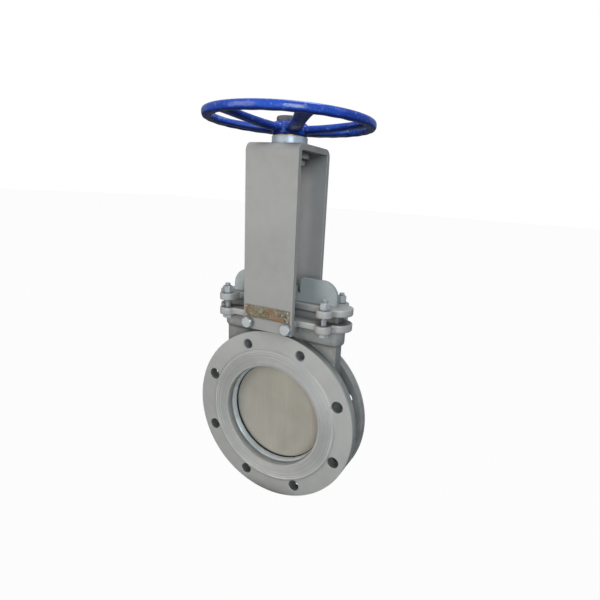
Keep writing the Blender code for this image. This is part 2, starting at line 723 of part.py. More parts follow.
def build():
    clear_scene()
    grey = paint("grey_paint", (0.36, 0.35, 0.33), 0.45)
    steel = paint("zinc_steel", (0.55, 0.56, 0.56), 0.35, 0.9)
    stainless = paint("stainless", (0.46, 0.43, 0.38), 0.4, 0.6)
    bronze = paint("bronze", (0.45, 0.30, 0.14), 0.35, 0.9)
    rubber = paint("seal_rubber", (0.03, 0.03, 0.03), 0.7)
    plastic = paint("slide_plastic", (0.75, 0.74, 0.70), 0.5)
    braid = paint("packing_braid", (0.55, 0.53, 0.47), 0.8)
    blue = paint("blue_enamel", (0.05, 0.13, 0.50), 0.3)
    brown = paint("bare_brown_steel", (0.18, 0.16, 0.16), 0.6, 0.5)
    plate = paint("bronze_plate", (0.20, 0.17, 0.11), 0.5, 0.3)

    make_body(grey)
    make_seat(steel, rubber)
    make_sliders(plastic)
    make_packing(braid)
    make_gland(grey)
    make_gland_bolts(steel)
    make_yoke(grey)
    make_yoke_bolts(grey)
    make_data_plate(plate, steel)
    make_bush(steel)
    make_washers(bronze)

    wheel_axis = pivot_empty("wheel_axis", HUB_Z[0])
    turning = [make_handwheel(blue), make_locknut(brown)]
    turning += make_stem_nut(bronze, steel) + make_collar(grey, brown)
    hang_on(wheel_axis, turning)

    gate_axis = pivot_empty("gate_axis", GATE_ARC_Z)
    lifting = [make_gate(stainless), make_stem(stainless)] + make_clevis(steel, steel)
    hang_on(gate_axis, lifting)


build()
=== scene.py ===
"""Looks of the knife gate valve: fine meshes, procedural materials, studio and camera.

Everything is in metres in the frame of the CAD model: the origin is the centre of the flow bore,
+Y runs along the pipe away from the seat side and +Z runs up the stem.
"""

import math
import random

import bmesh
import bpy
from mathutils import Matrix, Vector


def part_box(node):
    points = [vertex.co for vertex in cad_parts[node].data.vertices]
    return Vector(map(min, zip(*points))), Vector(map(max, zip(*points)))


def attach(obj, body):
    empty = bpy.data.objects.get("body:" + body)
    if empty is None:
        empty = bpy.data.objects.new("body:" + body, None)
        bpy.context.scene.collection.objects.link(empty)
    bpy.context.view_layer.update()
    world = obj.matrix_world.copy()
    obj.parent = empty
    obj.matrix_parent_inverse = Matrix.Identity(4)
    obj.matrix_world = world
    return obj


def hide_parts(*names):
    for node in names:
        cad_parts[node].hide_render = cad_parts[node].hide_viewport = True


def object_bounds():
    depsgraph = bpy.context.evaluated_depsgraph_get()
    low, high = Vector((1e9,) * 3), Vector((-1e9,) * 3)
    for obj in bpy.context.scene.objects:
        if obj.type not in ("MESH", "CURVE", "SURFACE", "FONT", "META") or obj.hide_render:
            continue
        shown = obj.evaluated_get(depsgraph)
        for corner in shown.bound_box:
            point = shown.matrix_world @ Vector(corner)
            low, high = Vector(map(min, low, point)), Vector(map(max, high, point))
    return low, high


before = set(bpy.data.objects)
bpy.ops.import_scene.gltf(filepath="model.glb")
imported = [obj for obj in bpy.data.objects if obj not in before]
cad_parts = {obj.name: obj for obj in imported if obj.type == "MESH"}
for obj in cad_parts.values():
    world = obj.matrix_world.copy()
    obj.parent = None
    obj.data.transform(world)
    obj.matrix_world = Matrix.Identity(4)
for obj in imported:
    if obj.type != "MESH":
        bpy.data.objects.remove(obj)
cad_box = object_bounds()

MM = 0.001
GAP = 0.3 * MM
FINE = 144  # sides of the large turned pieces
TURNED = 72  # sides of the small turned pieces

# Taken from the frame
FLANGE_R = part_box("body")[1].x
GATE_LOW, GATE_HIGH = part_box("gate")
GLAND_LOW, GLAND_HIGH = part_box("gland")
YOKE_LOW, YOKE_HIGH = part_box("yoke")
STEM_LOW, STEM_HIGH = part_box("stem")

# Flow end
BORE_R = 102 * MM
FACE_R = 134 * MM
FACE_Y = 35 * MM
FACE_STEP = 3 * MM
DISC_BACK_Y = 12 * MM
CORE_R = 134 * MM
BOLT_CIRCLE_R = 147.5 * MM
THROUGH_HOLE_R = 11 * MM
TAP_R = 8.75 * MM
TAP_DEPTH = 18 * MM
SEAT_POCKET_R = 108 * MM
SEAT_POCKET_Y = -20.3 * MM
SEAT_INNER_R = 99 * MM
SEAL_INNER_R = 98 * MM
SLOT_HALF_W = 110.3 * MM
SLOT_HALF_T = 4.6 * MM

# Neck, lugs and stuffing box
WALL_HALF_W = 118 * MM
NECK_HALF_W = 126 * MM
NECK_HALF_D = 20 * MM
NECK_LOW = 160 * MM
NECK_TOP = 195 * MM
BOX_HALF_W = 117.6 * MM
BOX_HALF_D = 12.6 * MM
BOX_FLOOR = 163 * MM
LUG = (101 * MM, 35 * MM)
LUG_R = 14.5 * MM
END_X = 112 * MM
END_R = 26 * MM
BODY_FLANGE_Z = (189.5 * MM, 203.5 * MM)
WEB_HALF_D = 38 * MM
WEB_Z = (192 * MM, 203.4 * MM)
BOSS_HALF_W = 47 * MM
BOSS_HALF_D = 44.7 * MM
BOSS_Z = (180 * MM, 201 * MM)
GLAND_PLATE_Z = (217.5 * MM, 230.5 * MM)
GLAND_MID_D = 16.5 * MM
GLAND_SLOT = (109.6 * MM, 4.4 * MM)
LUG_HOLE_R = 5.6 * MM
SPOT_FACE_R = 11.2 * MM

# Bolts: shank radius, half width across flats, head height, nut height, thread pitch
M8 = (4 * MM, 6.5 * MM, 5.3 * MM, 6.5 * MM, 1.25 * MM)
M10 = (5 * MM, 8 * MM, 6.6 * MM, 12.4 * MM, 1.5 * MM)
M12 = (6 * MM, 9 * MM, 7.5 * MM, 10.4 * MM, 1.75 * MM)
YOKE_BOLT = (39.5 * MM, 189 * MM)
CLEVIS_BOLT = (9.5 * MM, 238.2 * MM)
M8_HOLE_R = 4.3 * MM
M12_TAP_R = 6.3 * MM
M12_TAP_Y = (30.7 * MM, 46 * MM)
M12_HOLE_R = 6.6 * MM

# Yoke plate
YOKE_PLATE = 10 * MM
YOKE_BEND_R = 14 * MM

# Gate top, stem and clevis
GATE_CORNER_R = 30 * MM
NOTCH_HALF_W = 35.5 * MM
NOTCH_Z = 244 * MM
NOTCH_CORNER_R = 6 * MM
STEM_R = 14 * MM
STEM_PITCH = 5 * MM
STEM_THREAD_DEPTH = 2.2 * MM
CLEVIS_SLOT_TOP = 244.4 * MM
CLEVIS_SLOT_HALF_T = 4.3 * MM

# Wheel
RIM_R = 134.5 * MM
RIM_HALF_W = 8.5 * MM
RIM_HALF_H = 7.5 * MM
RIM_Z = 529.5 * MM
HUB_R = 30 * MM
HUB_Z = (507.2 * MM, 527 * MM)
SLEEVE_R = 18 * MM
SHANK_R = 25 * MM
LOCKNUT_FLAT = 21.5 * MM
KEY_HALF = 2 * MM
SPOKE_COUNT = 6
SPOKE_ANGLE = math.radians(-50)
SPOKE_HUB_Z = 516.5 * MM


# ---------------------------------------------------------------- mesh tools

def circle(radius, sides, centre=(0.0, 0.0), phase=0.0):
    step = 2 * math.pi / sides
    return [(centre[0] + radius * math.cos(phase + i * step),
             centre[1] + radius * math.sin(phase + i * step)) for i in range(sides)]


def arc(centre, radius, start_deg, end_deg, steps):
    points = []
    for i in range(steps + 1):
        angle = math.radians(start_deg + (end_deg - start_deg) * i / steps)
        points.append((centre[0] + radius * math.cos(angle), centre[1] + radius * math.sin(angle)))
    return points


def eased(points, radius, closed=False, steps=3):
    """Round the corners of a polyline with short curves."""
    out = []
    count = len(points)
    for i, (px, py) in enumerate(points):
        if not closed and i in (0, count - 1):
            out.append((px, py))
            continue
        ax, ay = points[i - 1]
        bx, by = points[(i + 1) % count]
        near = min(radius / max(math.hypot(ax - px, ay - py), 1e-9), 0.45)
        far = min(radius / max(math.hypot(bx - px, by - py), 1e-9), 0.45)
        start = (px + (ax - px) * near, py + (ay - py) * near)
        end = (px + (bx - px) * far, py + (by - py) * far)
        for k in range(steps + 1):
            t = k / steps
            out.append(tuple((1 - t) ** 2 * s + 2 * t * (1 - t) * p + t ** 2 * e
                             for s, p, e in zip(start, (px, py), end)))
    return out


def loft(loops, bm=None, caps=True):
    """Skin a list of equal loops of 3-D points."""
    bm = bm or bmesh.new()
    rings = [[bm.verts.new(point) for point in loop] for loop in loops]
    count = len(rings[0])
    for low, high in zip(rings, rings[1:]):
        for i in range(count):
            j = (i + 1) % count
            bm.faces.new((low[i], low[j], high[j], high[i]))
    if caps:
        bm.faces.new(rings[0][::-1])
        bm.faces.new(rings[-1])
    return bm


def prism(outline, low, high, axis="Z", bm=None):
    if axis == "Z":
        return loft([[(x, y, h) for x, y in outline] for h in (low, high)], bm)
    return loft([[(x, h, z) for x, z in outline] for h in (low, high)], bm)


def block(x, y, z, bm=None):
    outline = [(x[0], y[0]), (x[1], y[0]), (x[1], y[1]), (x[0], y[1])]
    return prism(outline, z[0], z[1], bm=bm)


def centred(half):
    return (-half, half)


def turned(levels, sides=TURNED, axis="Z", centre=(0.0, 0.0), bm=None):
    """Solid of revolution through (radius, height) levels."""
    if axis == "Z":
        loops = [[(x, y, h) for x, y in circle(r, sides, centre)] for r, h in levels]
    else:
        loops = [[(x, h, z) for x, z in circle(r, sides, centre)] for r, h in levels]
    return loft(loops, bm)


def turned_ring(profile, sides=TURNED, axis="Z"):
    """Ring of revolution from a closed (radius, height) profile."""
    bm = bmesh.new()
    rings = []
    for radius, height in profile:
        flat = circle(radius, sides)
        points = [(x, y, height) for x, y in flat] if axis == "Z" else [(x, height, z) for x, z in flat]
        rings.append([bm.verts.new(point) for point in points])
    for low, high in zip(rings, rings[1:] + rings[:1]):
        for i in range(sides):
            j = (i + 1) % sides
            bm.faces.new((low[i], low[j], high[j], high[i]))
    return bm


def sleeve(inner, outer, z, ease=0.5 * MM, sides=TURNED):
    profile = [(inner, z[0]), (outer, z[0]), (outer, z[1]), (inner, z[1])]
    return turned_ring(eased(profile, ease, True), sides)


def moved(bm, matrix):
    bmesh.ops.transform(bm, matrix=matrix, verts=bm.verts)
    return bm


def piece(name, bm, sharp_deg=30):
    """A linked, smooth-shaded object made from a bmesh."""
    bmesh.ops.recalc_face_normals(bm, faces=bm.faces)
    mesh = bpy.data.meshes.new(name)
    bm.to_mesh(mesh)
    bm.free()
    obj = bpy.data.objects.new(name, mesh)
    bpy.context.scene.collection.objects.link(obj)
    shade(obj, sharp_deg)
    return obj


def shade(obj, sharp_deg):
    obj.data.shade_smooth()
    obj.data.set_sharp_from_angle(angle=math.radians(sharp_deg))


def settle(obj):
    """Apply the modifiers, so that the mesh is final."""
    graph = bpy.context.evaluated_depsgraph_get()
    mesh = bpy.data.meshes.new_from_object(obj.evaluated_get(graph))
    obj.modifiers.clear()
    obj.data = mesh
    return obj


def boolean(obj, bm, operation="DIFFERENCE"):
    tool = piece("tool", bm)
    modifier = obj.modifiers.new("boolean", "BOOLEAN")
    modifier.operation = operation
    modifier.solver = "EXACT"
    modifier.object = tool
    settle(obj)
    bpy.data.objects.remove(tool)
    return obj


def fuse(obj, voxel, smoothing):
    """Melt overlapping shells into one casting with soft corners."""
    remesh = obj.modifiers.new("fuse", "REMESH")
    remesh.mode = "VOXEL"
    remesh.voxel_size = voxel
    smooth = obj.modifiers.new("soften", "SMOOTH")
    smooth.factor = 0.5
    smooth.iterations = smoothing
    return settle(obj)


def bevel(obj, width, segments=2, angle_deg=30):
    modifier = obj.modifiers.new("edges", "BEVEL")
    modifier.width = width
    modifier.segments = segments
    modifier.limit_method = "ANGLE"
    modifier.angle_limit = math.radians(angle_deg)
    modifier.harden_normals = True
    return obj


def dress(obj, body, material, slot, *nodes):
    """Give a piece its material, its CAD body and the nodes it stands for; the slot argument is not used."""
    obj.data.materials.clear()
    obj.data.materials.append(material)
    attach(obj, body)
    if nodes:
        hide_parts(*nodes)
    return obj


def copy_of(obj, name, matrix):
    other = bpy.data.objects.new(name, obj.data)
    bpy.context.scene.collection.objects.link(other)
    other.matrix_world = matrix
    return other


# ---------------------------------------------------------------- material tools

class Look:
    """A procedural Principled material, built from a few layered textures."""

    def __init__(self, name, roughness, metallic=0.0, **flat):
        self.material = bpy.data.materials.new(name)
        self.material.use_nodes = True
        self.tree = self.material.node_tree
        self.shader = self.tree.nodes["Principled BSDF"]
        self.shader.inputs["Roughness"].default_value = roughness
        self.shader.inputs["Metallic"].default_value = metallic
        for socket, value in flat.items():
            self.shader.inputs[socket.replace("_", " ")].default_value = value
        self.coords = self.add("ShaderNodeTexCoord").outputs["Object"]
        self.normal = None

    def add(self, kind, **settings):
        node = self.tree.nodes.new(kind)
        for key, value in settings.items():
            setattr(node, key, value)
        return node

    def link(self, source, target):
        self.tree.links.new(source, target)

    def noise(self, scale, detail=3.0, stretch=(1, 1, 1), distortion=0.0, roughness=0.5):
        mapping = self.add("ShaderNodeMapping")
        mapping.inputs["Scale"].default_value = stretch
        self.link(self.coords, mapping.inputs["Vector"])
        node = self.add("ShaderNodeTexNoise")
        node.inputs["Scale"].default_value = scale
        node.inputs["Detail"].default_value = detail
        node.inputs["Distortion"].default_value = distortion
        node.inputs["Roughness"].default_value = roughness
        self.link(mapping.outputs["Vector"], node.inputs["Vector"])
        return node.outputs["Fac"]

    def spread(self, source, low, high, to_low=0.0, to_high=1.0):
        node = self.add("ShaderNodeMapRange", clamp=True)
        for key, value in (("From Min", low), ("From Max", high), ("To Min", to_low), ("To Max", to_high)):
            node.inputs[key].default_value = value
        self.link(source, node.inputs["Value"])
        return node.outputs["Result"]

    def maths(self, operation, a, b=0.0):
        node = self.add("ShaderNodeMath", operation=operation)
        for socket, value in zip(node.inputs, (a, b)):
            if isinstance(value, (int, float)):
                socket.default_value = value
            else:
                self.link(value, socket)
        return node.outputs["Value"]

    def mix(self, factor, a, b, blend="MIX"):
        node = self.add("ShaderNodeMix", data_type="RGBA", blend_type=blend)
        sockets = {s.identifier: s for s in node.inputs}
        pairs = (("Factor_Float", factor), ("A_Color", a), ("B_Color", b))
        for key, value in pairs:
            if isinstance(value, (int, float)):
                sockets[key].default_value = value
            elif isinstance(value, tuple):
                sockets[key].default_value = (*value, 1.0)
            else:
                self.link(value, sockets[key])
        return {s.identifier: s for s in node.outputs}["Result_Color"]

    def bump(self, height, strength, distance):
        node = self.add("ShaderNodeBump")
        node.inputs["Strength"].default_value = strength
        node.inputs["Distance"].default_value = distance
        self.link(height, node.inputs["Height"])
        if self.normal:
            self.link(self.normal, node.inputs["Normal"])
        self.normal = node.outputs["Normal"]

    def crevice(self, reach):
        """1 on open surface, falling towards 0 in corners and recesses."""
        node = self.add("ShaderNodeAmbientOcclusion", samples=6)
        node.inputs["Distance"].default_value = reach
        return node.outputs["AO"]

    def height(self, axis="Z"):
        node = self.add("ShaderNodeSeparateXYZ")
        self.link(self.coords, node.inputs["Vector"])
        return node.outputs[axis]

    def finish(self, colour, roughness=None):
        self.link(colour, self.shader.inputs["Base Color"])
        if roughness is not None:
            self.link(roughness, self.shader.inputs["Roughness"])
        if self.normal:
            self.link(self.normal, self.shader.inputs["Normal"])
        return self.material


def shaded(colour, tone):
    return tuple(tone * c for c in colour)


def ridge_highlight_rings(look):
    """Light rings on the tops of the coarse turning ridges near the outside of the raised faces: painted
    highlight, together with paint worn through on the ridges, broken up by noise.
    """
    across, up = look.height("X"), look.height("Z")
    square = look.maths("ADD", look.maths("MULTIPLY", across, across), look.maths("MULTIPLY", up, up))
    radius = look.maths("SQRT", square)
    rings = 0.0
    for ring, strength in ((130.5, 0.75), (126.5, 0.45), (120.5, 0.35), (111.0, 0.2)):
        away = look.maths("ABSOLUTE", look.maths("SUBTRACT", radius, ring * MM))
        rings = look.maths("ADD", look.spread(away, 0.3 * MM, 0.9 * MM, strength, 0.0), rings)
    depth = look.maths("ABSOLUTE", look.height("Y"))
    faces = look.spread(depth, FACE_Y - 1 * MM, FACE_Y - 0.8 * MM)
    worn = look.spread(look.noise(30, 3), 0.35, 0.6, 0.25, 1.0)
    return look.maths("MULTIPLY", look.maths("MULTIPLY", rings, faces), worn)


def paint_look(name, cast):
    """Sprayed grey enamel: over a sand casting, or over smooth plate."""
    look = Look(name, 0.45, 0.12, IOR=1.45)
    tone = 1.06 if cast else 0.88
    patches = look.spread(look.noise(9, 4, distortion=0.4), 0.35, 0.65)
    colour = look.mix(patches, shaded((0.335, 0.317, 0.298), tone), shaded((0.375, 0.357, 0.337), tone))
    haze = look.spread(look.noise(55, 5), 0.4, 0.75, 0.0, 0.35)
    colour = look.mix(haze, colour, shaded((0.41, 0.393, 0.373), tone))
    # Painted shade: paint darkened in corners and recesses found by occlusion, broken up by noise.
    crevice_shade = look.spread(look.crevice(9 * MM), 0.25, 0.95, 1.0, 0.0)
    crevice_shade = look.maths("MULTIPLY", crevice_shade, look.spread(look.noise(38, 4), 0.3, 0.7, 0.35, 1.0))
    colour = look.mix(crevice_shade, colour, (0.13, 0.125, 0.115))
    specks = look.spread(look.noise(420, 2), 0.70, 0.76, 0.0, 0.5)
    colour = look.mix(specks, colour, (0.20, 0.19, 0.175))
    # Painted shade: paint darkened towards near black deep inside holes and recesses, found by occlusion.
    deep_recess_shade = look.spread(look.crevice(40 * MM), 0.2, 0.85, 0.92, 0.0)
    colour = look.mix(deep_recess_shade, colour, (0.045, 0.043, 0.040))
    if cast:
        # Painted shade: darker paint on the neck, core and inner disc faces in the gap between the discs
        # below the neck flange, broken up by noise.
        inside = look.spread(look.maths("ABSOLUTE", look.height("Y")), 24 * MM, 32 * MM, 1.0, 0.0)
        low = look.spread(look.height("Z"), 168 * MM, 192 * MM, 1.0, 0.0)
        between_discs_shade = look.spread(look.noise(48, 5), 0.3, 0.65, 0.35, 0.72)
        between_discs_shade = look.maths("MULTIPLY", look.maths("MULTIPLY", inside, low), between_discs_shade)
        colour = look.mix(between_discs_shade, colour, (0.125, 0.125, 0.12))
        # Painted highlight: light rings along the ridge tops of the raised faces.
        colour = look.mix(ridge_highlight_rings(look), colour, (0.66, 0.65, 0.63))
        look.bump(look.noise(620, 4, roughness=0.6), 0.30, 0.25 * MM)
        look.bump(look.noise(95, 3), 0.35, 0.7 * MM)
    else:
        look.bump(look.noise(900, 2), 0.12, 0.1 * MM)
        look.bump(look.noise(26, 2), 0.10, 0.8 * MM)
    gloss = look.spread(look.noise(70, 3), 0.3, 0.7, *((0.38, 0.5) if cast else (0.48, 0.6)))
    return look.finish(colour, gloss)


def enamel_look():
    """Glossy blue enamel that has run over a lumpy casting, with painted glints, and painted shade on its
    undersides and in its corners.
    """
    look = Look("blue_enamel", 0.2, Coat_Weight=0.4, Coat_Roughness=0.08, Coat_IOR=1.5)
    patches = look.spread(look.noise(22, 4, distortion=0.5), 0.35, 0.68)
    colour = look.mix(patches, (0.010, 0.040, 0.30), (0.022, 0.080, 0.46))
    thin = look.spread(look.noise(160, 4), 0.60, 0.78, 0.0, 0.45)
    colour = look.mix(thin, colour, (0.07, 0.19, 0.62))
    # Painted highlight: pale blue specks standing in for small glints on the enamel.
    glint_specks = look.spread(look.noise(150, 3), 0.58, 0.72, 0.0, 0.32)
    colour = look.mix(glint_specks, colour, (0.30, 0.42, 0.80))
    # Painted shade: enamel darkened to navy in corners and recesses found by occlusion.
    crevice_shade = look.spread(look.crevice(7 * MM), 0.2, 0.9, 0.9, 0.0)
    colour = look.mix(crevice_shade, colour, (0.010, 0.018, 0.075))
    facing = look.add("ShaderNodeSeparateXYZ")
    look.link(look.add("ShaderNodeTexCoord").outputs["Normal"], facing.inputs["Vector"])
    # Painted shade: enamel facing downwards is made dark navy and given less shine.
    underside_shade = look.spread(facing.outputs["Z"], -0.75, -0.25, 0.8, 0.0)
    colour = look.mix(underside_shade, colour, (0.008, 0.016, 0.11))
    shine = look.spread(underside_shade, 0.0, 0.75, 0.32, 0.05)
    look.link(shine, look.shader.inputs["Specular IOR Level"])
    look.link(look.maths("MULTIPLY", shine, 0.7), look.shader.inputs["Coat Weight"])
    look.bump(look.noise(75, 3), 0.7, 1.4 * MM)
    look.bump(look.noise(330, 3), 0.5, 0.5 * MM)
    return look.finish(colour, look.spread(look.noise(90, 3), 0.3, 0.7, 0.12, 0.26))


def metal_look(name, dark, light, roughness, metallic, brushed=(1, 1, 1), scale=300, wear=0.4):
    """Machined or rolled metal: fine lines, stains, and painted shade in the corners."""
    look = Look(name, roughness, metallic)
    lines = look.noise(scale, 3, brushed)
    stains = look.spread(look.noise(24, 5, distortion=0.8), 0.35, 0.7)
    colour = look.mix(stains, dark, light)
    colour = look.mix(look.spread(lines, 0.3, 0.7, 0.0, wear), colour, shaded(dark, 0.72))
    # Painted shade: metal darkened in corners and recesses found by occlusion.
    crevice_shade = look.spread(look.crevice(6 * MM), 0.3, 0.95, 0.8, 0.0)
    colour = look.mix(crevice_shade, colour, shaded(dark, 0.3))
    look.bump(lines, 0.18, 0.12 * MM)
    gloss = look.spread(look.noise(60, 4), 0.3, 0.7, roughness - 0.08, roughness + 0.1)
    return look.finish(colour, gloss)


def gate_look():
    """Ground stainless sheet, warm low down and cooler on the shoulders: the split by height is a painted
    reflection tint, together with overspray on the shoulders.
    """
    look = Look("gate_stainless", 0.42, 0.25)
    clouds = look.spread(look.noise(13, 5, distortion=0.6), 0.3, 0.7)
    warm = look.mix(clouds, (0.38, 0.34, 0.28), (0.45, 0.405, 0.34))
    cool = look.mix(clouds, (0.31, 0.335, 0.335), (0.37, 0.395, 0.395))
    # Painted reflection: the gate is tinted warm below and cool above this height, partly standing for
    # overspray.
    shoulder = look.spread(look.height(), 0.20, 0.215)
    colour = look.mix(shoulder, warm, cool)
    lines = look.noise(700, 3, (1, 1, 0.02))
    colour = look.mix(look.spread(lines, 0.35, 0.65, 0.0, 0.22), colour, (0.24, 0.225, 0.20))
    drops = look.spread(look.noise(140, 2), 0.70, 0.76, 0.0, 0.35)
    colour = look.mix(drops, colour, (0.22, 0.20, 0.17))
    look.bump(lines, 0.10, 0.08 * MM)
    look.bump(look.noise(18, 2), 0.10, 0.8 * MM)
    return look.finish(colour, look.spread(clouds, 0.0, 1.0, 0.36, 0.5))


def plate_look():
    """Bronze-coloured data plate with painted shade in its low parts."""
    look = Look("data_plate", 0.5, 0.25)
    patina = look.spread(look.noise(240, 5, distortion=0.5), 0.35, 0.65)
    colour = look.mix(patina, (0.12, 0.10, 0.065), (0.33, 0.29, 0.20))
    brown = look.spread(look.noise(45, 3), 0.45, 0.62)
    colour = look.mix(brown, colour, (0.25, 0.15, 0.08))
    # Painted shade: plate darkened in the low parts round the raised bars, found by occlusion.
    crevice_shade = look.spread(look.crevice(1.5 * MM), 0.4, 1.0, 0.8, 0.0)
    colour = look.mix(crevice_shade, colour, (0.05, 0.042, 0.03))
    look.bump(look.noise(900, 3), 0.3, 0.12 * MM)
    return look.finish(colour, look.spread(patina, 0.0, 1.0, 0.42, 0.6))


def rubber_look():
    look = Look("seal_rubber", 0.7)
    dust = look.spread(look.noise(110, 4), 0.4, 0.7, 0.0, 0.5)
    colour = look.mix(dust, (0.012, 0.012, 0.012), (0.05, 0.048, 0.045))
    look.bump(look.noise(800, 2), 0.2, 0.1 * MM)
    return look.finish(colour)


def braid_look():
    """Square-braided packing: a crossed weave about 2 mm across."""
    look = Look("packing_braid", 0.85)
    wave = look.add("ShaderNodeTexWave", wave_type="BANDS", bands_direction="DIAGONAL")
    wave.inputs["Scale"].default_value = 140
    look.link(look.coords, wave.inputs["Vector"])
    strands = wave.outputs["Fac"]
    colour = look.mix(strands, (0.33, 0.31, 0.26), (0.62, 0.60, 0.54))
    look.bump(strands, 0.6, 0.4 * MM)
    return look.finish(colour)


def plastic_look():
    look = Look("slide_plastic", 0.45)
    scuffs = look.spread(look.noise(500, 3, (1, 1, 0.05)), 0.5, 0.75, 0.0, 0.4)
    colour = look.mix(scuffs, (0.70, 0.69, 0.65), (0.48, 0.46, 0.42))
    look.bump(look.noise(350, 2), 0.1, 0.1 * MM)
    return look.finish(colour)


CAST = paint_look("grey_paint_on_casting", True)
PLATE = paint_look("grey_paint_on_plate", False)
ENAMEL = enamel_look()
GATE = gate_look()
DATA = plate_look()
RUBBER = rubber_look()
BRAID = braid_look()
PLASTIC = plastic_look()
FASTENER = metal_look("painted_zinc", (0.42, 0.43, 0.43), (0.56, 0.57, 0.57), 0.34, 0.3, scale=260)
SEAT = metal_look("seat_metal", (0.58, 0.60, 0.61), (0.74, 0.76, 0.77), 0.34, 0.35, (1, 40, 1), 60, 0.15)
BUSH = metal_look("bush_steel", (0.50, 0.55, 0.60), (0.62, 0.68, 0.74), 0.42, 0.25, (1, 1, 30), 60, 0.25)
STEM = metal_look("stem_steel", (0.36, 0.35, 0.33), (0.55, 0.54, 0.52), 0.28, 0.9, (1, 1, 6), 160, 0.3)
BRONZE = metal_look("bronze", (0.34, 0.22, 0.09), (0.50, 0.34, 0.15), 0.34, 0.85, (1, 1, 12), 90, 0.3)
OXIDE = metal_look("oxide_steel", (0.12, 0.105, 0.10), (0.21, 0.195, 0.19), 0.55, 0.35, scale=140)


# ---------------------------------------------------------------- outlines

def lug_outline(middle):
    """Neck flange in plan: straight middle, four bolt lugs and two round ends."""
    apart = math.hypot(END_X - LUG[0], LUG[1])
    heading = math.atan2(LUG[1], LUG[0] - END_X)
    swing = math.acos((END_R ** 2 + apart ** 2 - LUG_R ** 2) / (2 * END_R * apart))
    meet = heading - swing
    lug_end = math.degrees(math.atan2(END_R * math.sin(meet) - LUG[1],
                                      END_X + END_R * math.cos(meet) - LUG[0]))
    rise = max(middle - LUG[1], 0)
    lug_start = 180 - math.degrees(math.asin(rise / LUG_R))
    quarter = [(LUG[0] - LUG_R, middle)] if middle < LUG[1] else []
    quarter += arc(LUG, LUG_R, lug_start, lug_end, 20)
    quarter += arc((END_X, 0), END_R, math.degrees(meet), 0, 10)[1:-1]
    half = quarter + [(END_X + END_R, 0.0)] + [(x, -y) for x, y in reversed(quarter)]
    return half + [(-x, -y) for x, y in half]


def stadium(half_w, half_d, steps=16):
    right = arc((half_w - half_d, 0), half_d, -90, 90, steps)
    return right + arc((-half_w + half_d, 0), half_d, 90, 270, steps)


def rounded_slot(half_w, half_d, radius, steps=6):
    points = []
    for sx, sy, start in ((1, 1, 0), (-1, 1, 90), (-1, -1, 180), (1, -1, 270)):
        points += arc((sx * (half_w - radius), sy * (half_d - radius)), radius, start, start + 90, steps)
    return points


def lug_centres():
    return [(sx * LUG[0], sy * LUG[1]) for sy in (-1, 1) for sx in (1, -1)]


# ---------------------------------------------------------------- body

def face_profile():
    """One disc from the core out and back to the bore mouth, with gramophone grooves on its face."""
    front = FACE_Y - FACE_STEP
    corners = [(CORE_R, 0), (CORE_R, DISC_BACK_Y), (FLANGE_R, DISC_BACK_Y), (FLANGE_R, front),
               (FACE_R + 2.2 * MM, front), (FACE_R, FACE_Y - 0.01 * MM),
               (BORE_R - 20 * MM, FACE_Y - 0.01 * MM)]
    profile = eased(corners, 1.8 * MM)[:-1]
    pitch = 2.0 * MM
    radius = FACE_R - 3 * MM
    while radius > BORE_R + 4 * MM:
        profile += [(radius, FACE_Y), (radius - 0.5 * pitch, FACE_Y - 0.5 * MM)]
        radius -= pitch
    profile.append((BORE_R - 30 * MM, FACE_Y - 0.01 * MM))
    return profile


def disc_shell():
    half = face_profile()
    return turned([(r, -y) for r, y in reversed(half)] + half[1:], FINE, "Y")


def neck_bits():
    """Overlapping shells of the cast neck, ready to be fused."""
    bm = bmesh.new()
    loops = []
    round_under = 7 * MM
    for step in range(7):
        angle = math.radians(90 * step / 6)
        inset = round_under * (1 - math.sin(angle))
        height = NECK_LOW + round_under * (1 - math.cos(angle))
        loops.append([(x, y, height) for x, y in stadium(NECK_HALF_W - inset, NECK_HALF_D - inset)])
    loops.append([(x, y, NECK_TOP) for x, y in stadium(NECK_HALF_W, NECK_HALF_D)])
    loft(loops, bm)
    prism(lug_outline(NECK_HALF_D - 1 * MM), *BODY_FLANGE_Z, bm=bm)
    block(centred(LUG[0]), centred(WEB_HALF_D), WEB_Z, bm)
    block(centred(BOSS_HALF_W), centred(BOSS_HALF_D), BOSS_Z, bm)
    block(centred(WALL_HALF_W), centred(DISC_BACK_Y + 0.5 * MM), (60 * MM, NECK_LOW + 8 * MM), bm)
    chord = 95 * MM
    inner_r = FLANGE_R - 2 * MM
    start = math.degrees(math.asin(chord / inner_r))
    segment = arc((0, 0), inner_r, start, 180 - start, 40)
    for side in (-1, 1):
        y = sorted((side * (DISC_BACK_Y + 1 * MM), side * (FACE_Y - FACE_STEP - 1.5 * MM)))
        prism(segment, y[0], y[1], "Y", bm)
    return bm


def flow_passage():
    reach = FACE_Y + 5 * MM
    mouth = 1.2 * MM
    return turned([(BORE_R + mouth + 5 * MM, -reach), (BORE_R + mouth, -FACE_Y), (BORE_R, -FACE_Y + mouth),
                   (BORE_R, SEAT_POCKET_Y), (SEAT_POCKET_R, SEAT_POCKET_Y), (SEAT_POCKET_R, 0), (BORE_R, 0),
                   (BORE_R, FACE_Y - mouth), (BORE_R + mouth, FACE_Y), (BORE_R + mouth + 5 * MM, reach)],
                  FINE, "Y")


def gate_slot():
    centre = (0, GATE_LOW.z + GATE_HIGH.x)
    outline = arc(centre, SLOT_HALF_W, 180, 360, 60)
    outline += [(SLOT_HALF_W, BOX_FLOOR + 5 * MM), (-SLOT_HALF_W, BOX_FLOOR + 5 * MM)]
    return prism(outline, -SLOT_HALF_T, SLOT_HALF_T, "Y")


